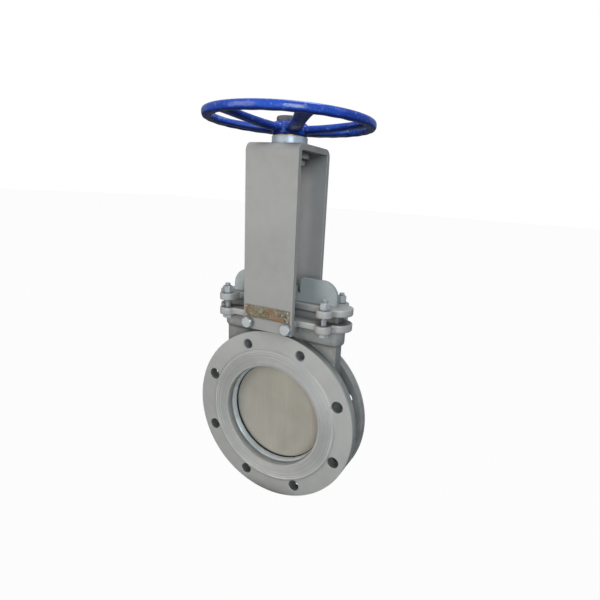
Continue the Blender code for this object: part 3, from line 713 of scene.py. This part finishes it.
def through_hole(centre):
    """Drilled hole with its edges just broken, through both discs."""
    outer = FACE_Y - FACE_STEP
    edge = 0.6 * MM
    levels = [(THROUGH_HOLE_R + edge + 2 * MM, -outer - 2 * MM), (THROUGH_HOLE_R + edge, -outer),
              (THROUGH_HOLE_R, -outer + edge), (THROUGH_HOLE_R, outer - edge),
              (THROUGH_HOLE_R + edge, outer), (THROUGH_HOLE_R + edge + 2 * MM, outer + 2 * MM)]
    return turned(levels, 40, "Y", centre)


def tapped_hole(centre, side):
    """Blind hole with thread ridges and a drill-point floor."""
    outer = FACE_Y - FACE_STEP
    pitch = 2.5 * MM
    levels = [(TAP_R + 3.5 * MM, outer + 2 * MM), (TAP_R + 1.5 * MM, outer)]
    depth = 0.0
    while depth < TAP_DEPTH - 2 * pitch:
        levels += [(TAP_R + 0.9 * MM, outer - depth - 0.3 * pitch), (TAP_R, outer - depth - 0.8 * pitch)]
        depth += pitch
    levels += [(TAP_R, outer - TAP_DEPTH), (1 * MM, outer - TAP_DEPTH - 0.4 * TAP_R)]
    return turned([(r, side * y) for r, y in levels], 32, "Y", centre)


def make_body():
    body = fuse(piece("valve_body", neck_bits()), 1.5 * MM, 5)
    boolean(body, disc_shell(), "UNION")
    boolean(body, flow_passage())
    boolean(body, gate_slot())
    box = rounded_slot(BOX_HALF_W, BOX_HALF_D, 4 * MM)
    boolean(body, prism(box, BOX_FLOOR, BODY_FLANGE_Z[1] + 5 * MM))
    for side, name in ((-1, "gate_slider_left"), (1, "gate_slider_right")):
        low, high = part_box(name)
        gap = Vector((GAP, GAP, GAP))
        low, high = low - gap, high + gap
        boolean(body, block((low.x, high.x), (0, high.y), (low.z, high.z)))
    for i in range(8):
        angle = math.pi / 8 + i * math.pi / 4
        centre = (BOLT_CIRCLE_R * math.cos(angle), BOLT_CIRCLE_R * math.sin(angle))
        if centre[1] > 0 and abs(centre[0]) < WALL_HALF_W:
            boolean(body, tapped_hole(centre, -1))
            boolean(body, tapped_hole(centre, 1))
        else:
            boolean(body, through_hole(centre))
    for x, y in lug_centres():
        hole = circle(LUG_HOLE_R, 28, (x, y))
        boolean(body, prism(hole, BODY_FLANGE_Z[0] - 8 * MM, BODY_FLANGE_Z[1] + 8 * MM))
        spot = circle(SPOT_FACE_R, 36, (x, y))
        boolean(body, prism(spot, BODY_FLANGE_Z[0] - 12 * MM, BODY_FLANGE_Z[0]))
    for side in (-1, 1):
        for x in centred(YOKE_BOLT[0]):
            y = sorted(side * depth for depth in M12_TAP_Y)
            boolean(body, prism(circle(M12_TAP_R, 28, (x, YOKE_BOLT[1])), y[0], y[1], "Y"))
    shade(body, 32)
    return dress(body, "root", CAST, "grey_paint", "body")


def make_seat():
    low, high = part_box("seat_ring")
    outer = high.x
    inner = SEAT_INNER_R
    profile = [(inner, low.y), (outer, low.y), (outer, high.y), (inner, high.y)]
    ring = piece("seat_ring_turned", turned_ring(eased(profile, 1.2 * MM, True), FINE, "Y"))
    dress(ring, "root", SEAT, "seat_metal", "seat_ring")
    low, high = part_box("seat_seal")
    inner = SEAL_INNER_R
    profile = [(inner, low.y), (outer, low.y), (outer, high.y), (inner, high.y)]
    seal = piece("seat_seal_moulded", turned_ring(eased(profile, 1.5 * MM, True), FINE, "Y"))
    dress(seal, "root", RUBBER, "rubber", "seat_seal")


def make_gland():
    bm = prism(lug_outline(GLAND_MID_D), *GLAND_PLATE_Z)
    nose = rounded_slot(BOX_HALF_W - GAP, BOX_HALF_D - GAP, 4 * MM)
    prism(nose, GLAND_LOW.z, GLAND_PLATE_Z[1] - 2 * MM, bm=bm)
    gland = fuse(piece("gland_cast", bm), 1.3 * MM, 5)
    slot = rounded_slot(*GLAND_SLOT, 0.8 * MM, 2)
    boolean(gland, prism(slot, GLAND_LOW.z - 5 * MM, GLAND_HIGH.z + 5 * MM))
    for x, y in lug_centres():
        boolean(gland, prism(circle(LUG_HOLE_R, 28, (x, y)), GLAND_LOW.z, GLAND_HIGH.z + 8 * MM))
    shade(gland, 32)
    dress(gland, "root", CAST, "grey_paint", "gland")


# ---------------------------------------------------------------- fasteners

def threaded_rod(radius, pitch, low, high, sides=32, per_pitch=5, depth=None, flat=0.0):
    """Rod along Z with a helical thread that fades into a chamfer at both ends."""
    depth = depth or 0.4 * pitch
    lead = 1.2 * depth
    rows = max(2, int((high - low) / pitch * per_pitch))
    loops = []
    for row in range(rows + 1):
        z = low + (high - low) * row / rows
        loop = []
        for i in range(sides):
            turn = (z / pitch - i / sides) % 1.0
            wave = min(max((abs(turn - 0.5) * 2 - flat) / (1 - 2 * flat), 0), 1)
            r = radius - depth * wave
            end = min(z - low, high - z)
            r = min(r, radius - max(0, lead - end) * 0.9)
            angle = 2 * math.pi * i / sides
            loop.append((r * math.cos(angle), r * math.sin(angle), z))
        loops.append(loop)
    return loft(loops)


def hex_blank(half_flat, low, high, both):
    """Hexagon with its corners turned down on one or both faces."""
    corner = half_flat / math.cos(math.pi / 6)
    outline = circle(corner, 6)
    blank = piece("hex", prism(outline, low, high))
    drop = (corner - half_flat) * 1.1
    cone = [(half_flat * 0.97, low), (corner + 0.2 * MM, low + drop)]
    if both:
        cone += [(corner + 0.2 * MM, high - drop), (half_flat * 0.97, high)]
    else:
        cone += [(corner + 0.2 * MM, high + 1 * MM)]
    return boolean(blank, turned(cone, 48), "INTERSECT")


def bolt_mesh(size, reach, plain):
    """Hex bolt along +Z with its bearing face at zero, plain for a stretch and then threaded."""
    shank_r, half_flat, head, _, pitch = size
    bolt = hex_blank(half_flat, -head, 0, False)
    rod = threaded_rod(shank_r, pitch, plain, reach)
    boolean(bolt, turned([(shank_r, -1 * MM), (shank_r, plain + 1 * MM)], 32), "UNION")
    boolean(bolt, rod, "UNION")
    shade(bolt, 30)
    return bolt


def nut_mesh(size):
    shank_r, half_flat, _, height, _ = size
    nut = hex_blank(half_flat, 0, height, True)
    mouth = 0.8 * MM
    inner = shank_r + GAP
    wide = inner + mouth + 1 * MM
    bore = [(wide, -1 * MM), (inner, mouth), (inner, height - mouth), (wide, height + 1 * MM)]
    boolean(nut, turned(bore, 32))
    shade(nut, 30)
    return nut


def place_copies(source, names, matrices, body, material, slot):
    """The first piece is the source itself, and the others share its mesh."""
    source.name = names[0] + "_fine"
    source.matrix_world = matrices[0]
    pieces = [source]
    for name, matrix in zip(names[1:], matrices[1:]):
        pieces.append(copy_of(source, name + "_fine", matrix))
    for obj, name in zip(pieces, names):
        dress(obj, body, material, slot, name)


def make_gland_bolts():
    seat = BODY_FLANGE_Z[0] - GAP
    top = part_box("gland_bolt_1")[1].z
    names = [f"gland_bolt_{i}" for i in range(1, 5)]
    turns = [Matrix.Rotation(math.radians(a), 4, "Z") for a in (12, 47, 25, 3)]
    places = [Matrix.Translation((x, y, seat)) @ t for (x, y), t in zip(lug_centres(), turns)]
    place_copies(bolt_mesh(M10, top - seat, 14 * MM), names, places, "root", FASTENER, "zinc_fasteners")
    names = [f"gland_nut_{i}" for i in range(1, 5)]
    nut_seat = GLAND_HIGH.z + GAP
    places = [Matrix.Translation((x, y, nut_seat)) @ t for (x, y), t in zip(lug_centres(), turns[::-1])]
    place_copies(nut_mesh(M10), names, places, "root", FASTENER, "zinc_fasteners")


def make_yoke_bolts():
    names = [f"yoke_bolt_{i}" for i in range(1, 5)]
    places = []
    for side in (-1, 1):
        for x in centred(YOKE_BOLT[0]):
            inwards = Matrix.Rotation(math.radians(90 * side), 4, "X")
            spin = Matrix.Rotation(math.radians(17 * side + 300 * x), 4, "Z")
            places.append(Matrix.Translation((x, side * (YOKE_HIGH.y + GAP), YOKE_BOLT[1])) @ inwards @ spin)
    place_copies(bolt_mesh(M12, 24 * MM, 8 * MM), names, places, "root", FASTENER, "grey_paint")


def make_clevis_bolts():
    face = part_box("stem_clevis")[1].y + GAP
    backwards = Matrix.Rotation(math.radians(-90), 4, "X")
    fronts, backs = [], []
    for x in centred(CLEVIS_BOLT[0]):
        fronts.append(Matrix.Translation((x, -face, CLEVIS_BOLT[1])) @ backwards)
        backs.append(Matrix.Translation((x, face, CLEVIS_BOLT[1])) @ backwards)
    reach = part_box("clevis_bolt_1")[1].y + face
    bolt_names = ["clevis_bolt_1", "clevis_bolt_2"]
    nut_names = ["clevis_nut_1", "clevis_nut_2"]
    place_copies(bolt_mesh(M8, reach, 20 * MM), bolt_names, fronts, "gate_lifter", FASTENER, "zinc_fasteners")
    place_copies(nut_mesh(M8), nut_names, backs, "gate_lifter", FASTENER, "zinc_fasteners")


# ---------------------------------------------------------------- yoke and plate

def yoke_outline(inset):
    half = YOKE_HIGH.y - inset
    top = YOKE_HIGH.z - inset
    radius = YOKE_BEND_R - inset
    points = [(half, YOKE_LOW.z)]
    points += arc((half - radius, top - radius), radius, 0, 90, 14)
    points += arc((-half + radius, top - radius), radius, 90, 180, 14)
    return points + [(-half, YOKE_LOW.z)]


def make_yoke():
    outline = yoke_outline(0) + yoke_outline(YOKE_PLATE)[::-1]
    yoke = piece("yoke_plate", loft([[(x, y, z) for y, z in outline] for x in (YOKE_LOW.x, YOKE_HIGH.x)]))
    bush_hole = circle(SHANK_R + GAP, TURNED)
    boolean(yoke, prism(bush_hole, YOKE_HIGH.z - 2 * YOKE_PLATE, YOKE_HIGH.z + 1 * MM))
    for side in (-1, 1):
        for x in centred(YOKE_BOLT[0]):
            y = sorted((side * 43 * MM, side * 57 * MM))
            boolean(yoke, prism(circle(M12_HOLE_R, 32, (x, YOKE_BOLT[1])), y[0], y[1], "Y"))
    shade(yoke, 25)
    bevel(yoke, 0.9 * MM, 3, 40)
    dress(yoke, "root", PLATE, "grey_paint", "yoke")


def make_data_plate():
    """Blank data plate: raised border and rows of plain raised fields."""
    low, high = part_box("data_plate")
    skin = 0.25 * MM
    base = block((low.x, high.x), (low.y + skin, high.y), (low.z, high.z))
    border = 1.6 * MM
    for x in ((low.x, low.x + border), (high.x - border, high.x)):
        block(x, (low.y, low.y + 2 * skin), (low.z, high.z), base)
    for z in ((low.z, low.z + border), (high.z - border, high.z)):
        block((low.x + border, high.x - border), (low.y, low.y + 2 * skin), z, base)
    plate = piece("data_plate_blank", base)
    rng = random.Random(7)
    rows, pad = 5, 7 * MM
    pitch = (high.z - low.z - 2 * border) / rows
    bars = bmesh.new()
    for row in range(rows):
        z = low.z + border + (row + 0.5) * pitch
        x = low.x + pad
        while x < high.x - pad - 4 * MM:
            length = rng.uniform(3, 11) * MM
            block((x, min(x + length, high.x - pad)), (low.y + 0.05 * MM, low.y + 2 * skin),
                  (z - 0.26 * pitch, z + 0.26 * pitch), bars)
            x += length + rng.uniform(1.2, 2.4) * MM
    boolean(plate, bars, "UNION")
    dress(plate, "root", DATA, "data_plate", "data_plate")
    source = None
    for i in range(1, 5):
        low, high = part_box(f"plate_rivet_{i}")
        r = (high.x - low.x) / 2
        centre = Matrix.Translation(((low.x + high.x) / 2, high.y, (low.z + high.z) / 2))
        if source is None:
            depth = high.y - low.y
            dome = [(0.6 * r, 0), (0.6 * r, -0.35 * depth), (r, -0.36 * depth)]
            dome += [(r * math.cos(a), -0.5 * depth - 0.5 * depth * math.sin(a))
                     for a in (0.0, 0.4, 0.8, 1.2, 1.45)]
            source = piece("plate_rivet_1_fine", turned(dome, 24, "Y"))
            source.matrix_world = centre
            rivet = source
        else:
            rivet = copy_of(source, f"plate_rivet_{i}_fine", centre)
        dress(rivet, "root", FASTENER, "zinc_fasteners", f"plate_rivet_{i}")


# ---------------------------------------------------------------- drive

def make_bush():
    low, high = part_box("bearing_bush")
    inner = SLEEVE_R + GAP
    outer = high.x
    shoulder = YOKE_HIGH.z + GAP
    profile = [(inner, low.z), (SHANK_R, low.z), (SHANK_R, shoulder), (outer, shoulder), (outer, high.z),
               (inner, high.z)]
    bush = piece("bearing_bush_turned", turned_ring(eased(profile, 1 * MM, True), 96))
    dress(bush, "root", BUSH, "bush_steel", "bearing_bush")
    low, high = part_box("bush_retainer")
    ring = piece("bush_retainer_turned", sleeve(SHANK_R + GAP, high.x, (low.z, high.z), 0.8 * MM))
    for i in range(4):
        angle = math.radians(25 + 90 * i)
        spot = Matrix.Rotation(angle, 4, "Z") @ Matrix.Translation((high.x, 0, (low.z + high.z) / 2))
        boolean(ring, moved(block(centred(3 * MM), centred(2.6 * MM), centred(8 * MM)), spot))
    dress(ring, "root", PLATE, "bush_steel", "bush_retainer")
    for name in ("thrust_washer_lower", "thrust_washer_upper"):
        low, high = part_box(name)
        washer = piece(name + "_turned", sleeve(inner, high.x, (low.z, high.z), 0.3 * MM))
        dress(washer, "root", BRONZE, "bronze", name)


def spoke_loops(angle):
    """A dished spoke with flared roots, as loops from the hub to the rim."""
    loops = []
    steps = 14
    for k in range(steps + 1):
        t = k / steps
        radius = (HUB_R - 6 * MM) * (1 - t) + (RIM_R - 1 * MM) * t
        height = SPOKE_HUB_Z + (RIM_Z - SPOKE_HUB_Z) * t ** 1.4
        half_w = 11 * MM * (1.25 - 0.8 * t * (1 - t) + 0.4 * t ** 6)
        half_h = 6 * MM * (1.1 - 0.25 * t)
        loop = []
        for u, v in circle(1.0, 16):
            side = half_w * math.copysign(abs(u) ** 0.8, u)
            x = radius * math.cos(angle) - side * math.sin(angle)
            y = radius * math.sin(angle) + side * math.cos(angle)
            loop.append((x, y, height + half_h * math.copysign(abs(v) ** 0.8, v)))
        loops.append(loop)
    return loops


def rim_loops():
    """Rim section swept round, with shallow finger grips underneath."""
    grips = 28
    loops = []
    steps = 336
    for k in range(steps):
        angle = 2 * math.pi * k / steps
        dip = 0.5 + 0.5 * math.cos(grips * angle)
        loop = []
        for u, v in circle(1.0, 24):
            u, v = (math.copysign(abs(c) ** 0.62, c) for c in (u, v))
            inward = max(0.0, -v) * 0.7 + max(0.0, -u) * 0.3
            shrink = 1 - 0.075 * dip * inward
            r = RIM_R + (RIM_HALF_W - 0.3 * MM) * u * shrink
            z = RIM_Z + (RIM_HALF_H - 0.4 * MM) * v * shrink
            loop.append((r * math.cos(angle), r * math.sin(angle), z))
        loops.append(loop)
    return loops


def make_handwheel():
    bm = bmesh.new()
    loops = rim_loops()
    loft(loops + loops[:1], bm, caps=False)
    bmesh.ops.remove_doubles(bm, verts=bm.verts, dist=0.01 * MM)
    for i in range(SPOKE_COUNT):
        loft(spoke_loops(SPOKE_ANGLE + 2 * math.pi * i / SPOKE_COUNT), bm)
    low, high = HUB_Z
    hub = [(HUB_R - 1.5 * MM, low), (HUB_R, low + 1.5 * MM), (HUB_R, high - 3 * MM), (HUB_R - 3 * MM, high)]
    turned(hub, TURNED, bm=bm)
    wheel = fuse(piece("handwheel_cast", bm), 1.25 * MM, 4)
    boolean(wheel, turned([(SLEEVE_R + GAP, low - 9 * MM), (SLEEVE_R + GAP, high + 9 * MM)]))
    slot = KEY_HALF + GAP
    boolean(wheel, block((0, SLEEVE_R + slot), centred(slot), (low - 9 * MM, high + 9 * MM)))
    shade(wheel, 40)
    dress(wheel, "wheel", ENAMEL, "blue_enamel", "handwheel")


def make_stem_nut():
    low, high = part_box("stem_nut")
    inner = STEM_R + GAP
    nut = piece("stem_nut_turned", sleeve(inner, SLEEVE_R, (low.z, high.z), 0.8 * MM))
    slot = KEY_HALF + GAP
    boolean(nut, block((SLEEVE_R - slot, 25 * MM), centred(slot), (HUB_Z[0], high.z + 1 * MM)))
    shade(nut, 30)
    dress(nut, "wheel", BRONZE, "bronze", "stem_nut")


def make_locknut():
    low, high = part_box("wheel_locknut")
    flat = LOCKNUT_FLAT
    radius = flat / math.cos(math.pi / 8)
    blank = piece("wheel_locknut_fine", prism(circle(radius, 8, phase=math.pi / 8), low.z, high.z))
    drop = 1.6 * MM
    cone = [(flat, low.z), (radius + 0.3 * MM, low.z + drop), (radius + 0.3 * MM, high.z - drop),
            (flat - 0.6 * MM, high.z)]
    boolean(blank, turned(cone, TURNED), "INTERSECT")
    bore = [(SLEEVE_R + 1.6 * MM, low.z - 1 * MM), (SLEEVE_R + GAP, low.z + 1 * MM),
            (SLEEVE_R + GAP, high.z - 1 * MM), (SLEEVE_R + 2 * MM, high.z + 1 * MM)]
    boolean(blank, turned(bore, TURNED))
    shade(blank, 25)
    dress(blank, "wheel", OXIDE, "dark_steel", "wheel_locknut")


def make_collar():
    low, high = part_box("thrust_collar")
    collar = piece("thrust_collar_turned", sleeve(SLEEVE_R + GAP, high.x, (low.z, high.z), 0.8 * MM))
    middle = (low.z + high.z) / 2
    turn = Matrix.Rotation(math.radians(-58), 4, "Z") @ Matrix.Rotation(math.radians(90), 4, "Y")
    place = Matrix.Translation((0, 0, middle)) @ turn
    bore = turned([(3.3 * MM, SLEEVE_R - 1 * MM), (3.3 * MM, high.x - 1 * MM), (5 * MM, high.x + 1 * MM)], 32)
    boolean(collar, moved(bore, place))
    shade(collar, 30)
    dress(collar, "wheel", PLATE, "grey_paint", "thrust_collar")
    tip = high.x - 1.2 * MM
    thread = threaded_rod(3 * MM, 1 * MM, SLEEVE_R + 0.6 * MM, tip, 24)
    screw = piece("collar_screw_fine", moved(thread, place))
    socket = turned([(1.6 * MM, tip - 3 * MM), (1.6 * MM, tip + 1 * MM)], 6)
    boolean(screw, moved(socket, place))
    dress(screw, "wheel", OXIDE, "dark_steel", "collar_screw")


# ---------------------------------------------------------------- gate and stem

def gate_outline():
    half_w, top = GATE_HIGH.x, GATE_HIGH.z
    corner, small = GATE_CORNER_R, NOTCH_CORNER_R
    right = arc((0, GATE_LOW.z + half_w), half_w, -90, 0, 60)
    right += arc((half_w - corner, top - corner), corner, 0, 90, 20)
    right += arc((NOTCH_HALF_W + small, top - small), small, 90, 180, 8)
    right.append((NOTCH_HALF_W, NOTCH_Z))
    return right + [(-x, z) for x, z in reversed(right[1:])]


def make_gate():
    gate = piece("gate_plate", prism(gate_outline(), GATE_LOW.y, GATE_HIGH.y, "Y"))
    for x in centred(CLEVIS_BOLT[0]):
        boolean(gate, prism(circle(M8_HOLE_R, 28, (x, CLEVIS_BOLT[1])), -10 * MM, 10 * MM, "Y"))
    shade(gate, 25)
    bevel(gate, 0.6 * MM, 2, 40)
    dress(gate, "gate_lifter", GATE, "stainless", "gate")


def make_stem():
    thread = threaded_rod(STEM_R, STEM_PITCH, STEM_LOW.z, STEM_HIGH.z, 48, 8, STEM_THREAD_DEPTH, 0.22)
    stem = piece("stem_threaded", thread, 50)
    dress(stem, "gate_lifter", STEM, "stainless", "stem")
    low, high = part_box("stem_clevis")
    clevis = piece("stem_clevis_fine", block((low.x, high.x), (low.y, high.y), (low.z, high.z)))
    boolean(clevis, block(centred(30 * MM), centred(CLEVIS_SLOT_HALF_T), (low.z - 1 * MM, CLEVIS_SLOT_TOP)))
    boolean(clevis, prism(circle(STEM_R + GAP, 48), NOTCH_Z - 1 * MM, high.z + 1 * MM))
    for x in centred(CLEVIS_BOLT[0]):
        boolean(clevis, prism(circle(M8_HOLE_R, 28, (x, CLEVIS_BOLT[1])), -30 * MM, 30 * MM, "Y"))
    shade(clevis, 25)
    bevel(clevis, 1 * MM, 3, 40)
    dress(clevis, "gate_lifter", FASTENER, "zinc_fasteners", "stem_clevis")


def dress_hidden_nodes():
    """Inner CAD pieces keep their own solids, with broken edges and a real finish."""
    finishes = {"gate_slider_left": PLASTIC, "gate_slider_right": PLASTIC, "wheel_key": OXIDE}
    finishes.update({f"packing_ring_{i}": BRAID for i in (1, 2, 3)})
    for name, material in finishes.items():
        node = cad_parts[name]
        node.data.materials.clear()
        node.data.materials.append(material)
        bevel(node, 0.4 * MM, 2)


# ---------------------------------------------------------------- studio

def make_floor():
    """Pale floor that stays nearly white to the camera and throws little light back up."""
    floor = piece("floor", block(centred(20), centred(20), (cad_box[0][2] - 0.05, cad_box[0][2] - 0.0005)))
    look = Look("pale_floor", 0.7)
    colour = look.mix(look.spread(look.noise(3, 3), 0.3, 0.7), (0.12, 0.12, 0.12), (0.14, 0.14, 0.14))
    look.finish(colour)
    glow = look.add("ShaderNodeEmission")
    glow.inputs["Strength"].default_value = 1.0
    seen = look.maths("MULTIPLY", look.add("ShaderNodeLightPath").outputs["Is Camera Ray"], 0.97)
    blend = look.add("ShaderNodeMixShader")
    look.link(seen, blend.inputs["Fac"])
    look.link(look.shader.outputs["BSDF"], blend.inputs[1])
    look.link(glow.outputs["Emission"], blend.inputs[2])
    look.link(blend.outputs["Shader"], look.tree.nodes["Material Output"].inputs["Surface"])
    floor.data.materials.append(look.material)


def area_light(name, location, target, size, power, colour):
    data = bpy.data.lights.new(name, "AREA")
    data.shape = "RECTANGLE"
    data.size, data.size_y = size
    data.energy = power
    data.color = colour
    light = bpy.data.objects.new(name, data)
    bpy.context.scene.collection.objects.link(light)
    light.location = location
    aim = Vector(target) - Vector(location)
    light.rotation_euler = aim.to_track_quat("-Z", "Y").to_euler()
    return light


def make_studio():
    """White surround for the camera, dim for the light it throws, with soft boxes round the object."""
    world = bpy.data.worlds.new("studio")
    world.use_nodes = True
    tree = world.node_tree
    dim = tree.nodes["Background"]
    coords = tree.nodes.new("ShaderNodeTexCoord")
    split = tree.nodes.new("ShaderNodeSeparateXYZ")
    sky = tree.nodes.new("ShaderNodeValToRGB")
    sky.color_ramp.elements[0].position = 0.35
    sky.color_ramp.elements[0].color = (0.05, 0.05, 0.055, 1.0)
    sky.color_ramp.elements[1].position = 0.75
    sky.color_ramp.elements[1].color = (0.82, 0.93, 1.0, 1.0)
    tree.links.new(coords.outputs["Generated"], split.inputs["Vector"])
    lift = tree.nodes.new("ShaderNodeMapRange")
    lift.inputs["From Min"].default_value = -1.0
    tree.links.new(split.outputs["Z"], lift.inputs["Value"])
    tree.links.new(lift.outputs["Result"], sky.inputs["Fac"])
    tree.links.new(sky.outputs["Color"], dim.inputs["Color"])
    dim.inputs["Strength"].default_value = 0.48
    white = tree.nodes.new("ShaderNodeBackground")
    white.inputs["Color"].default_value = (1.0, 1.0, 1.0, 1.0)
    path = tree.nodes.new("ShaderNodeLightPath")
    blend = tree.nodes.new("ShaderNodeMixShader")
    tree.links.new(path.outputs["Is Camera Ray"], blend.inputs["Fac"])
    tree.links.new(dim.outputs["Background"], blend.inputs[1])
    tree.links.new(white.outputs["Background"], blend.inputs[2])
    tree.links.new(blend.outputs["Shader"], tree.nodes["World Output"].inputs["Surface"])
    bpy.context.scene.world = world
    area_light("key", (-1.9, -3.3, 0.9), (0, 0, 0.15), (2.4, 2.4), 65, (1.0, 0.95, 0.895))
    area_light("fill", (1.6, -2.3, 0.75), (0, 0, 0.2), (1.2, 1.2), 52, (0.82, 0.93, 1.0))
    area_light("overhead", (0.2, 0.2, 2.4), (0, 0, 0.2), (1.4, 0.8), 26, (0.90, 0.95, 1.0))
    area_light("side", (2.2, 0.3, 1.7), (0, 0, 0.3), (0.6, 1.2), 4, (0.86, 0.93, 1.0))
    rear = area_light("rear", (-1.3, 2.7, 0.9), (0, 0, 0.2), (1.6, 1.6), 34, (0.97, 0.98, 1.0))
    rear.visible_glossy = False
    bpy.context.scene.view_settings.view_transform = "Standard"


def make_camera():
    """Close, from the front right, at a height between the neck and the wheel."""
    data = bpy.data.cameras.new("camera")
    data.sensor_width = 36
    data.lens = 26.221
    data.shift_x = -0.0462
    data.shift_y = 0.0412
    data.clip_start = 0.01
    camera = bpy.data.objects.new("camera", data)
    bpy.context.scene.collection.objects.link(camera)
    look = Vector((-0.40092, 0.87139, -0.28274)).normalized()
    up = Vector((-0.17910, 0.22812, 0.95702))
    right = look.cross(up).normalized()
    up = right.cross(look)
    rotation = Matrix((right, up, -look)).transposed().to_4x4()
    camera.matrix_world = Matrix.Translation((0.40626, -0.68148, 0.41586)) @ rotation
    bpy.context.scene.camera = camera


# ---------------------------------------------------------------- assembly

make_camera()
make_studio()
make_floor()
make_body()
make_seat()
make_gland()
make_gland_bolts()
make_yoke()
make_yoke_bolts()
make_data_plate()
make_bush()
make_handwheel()
make_stem_nut()
make_locknut()
make_collar()
make_gate()
make_stem()
make_clevis_bolts()
dress_hidden_nodes()
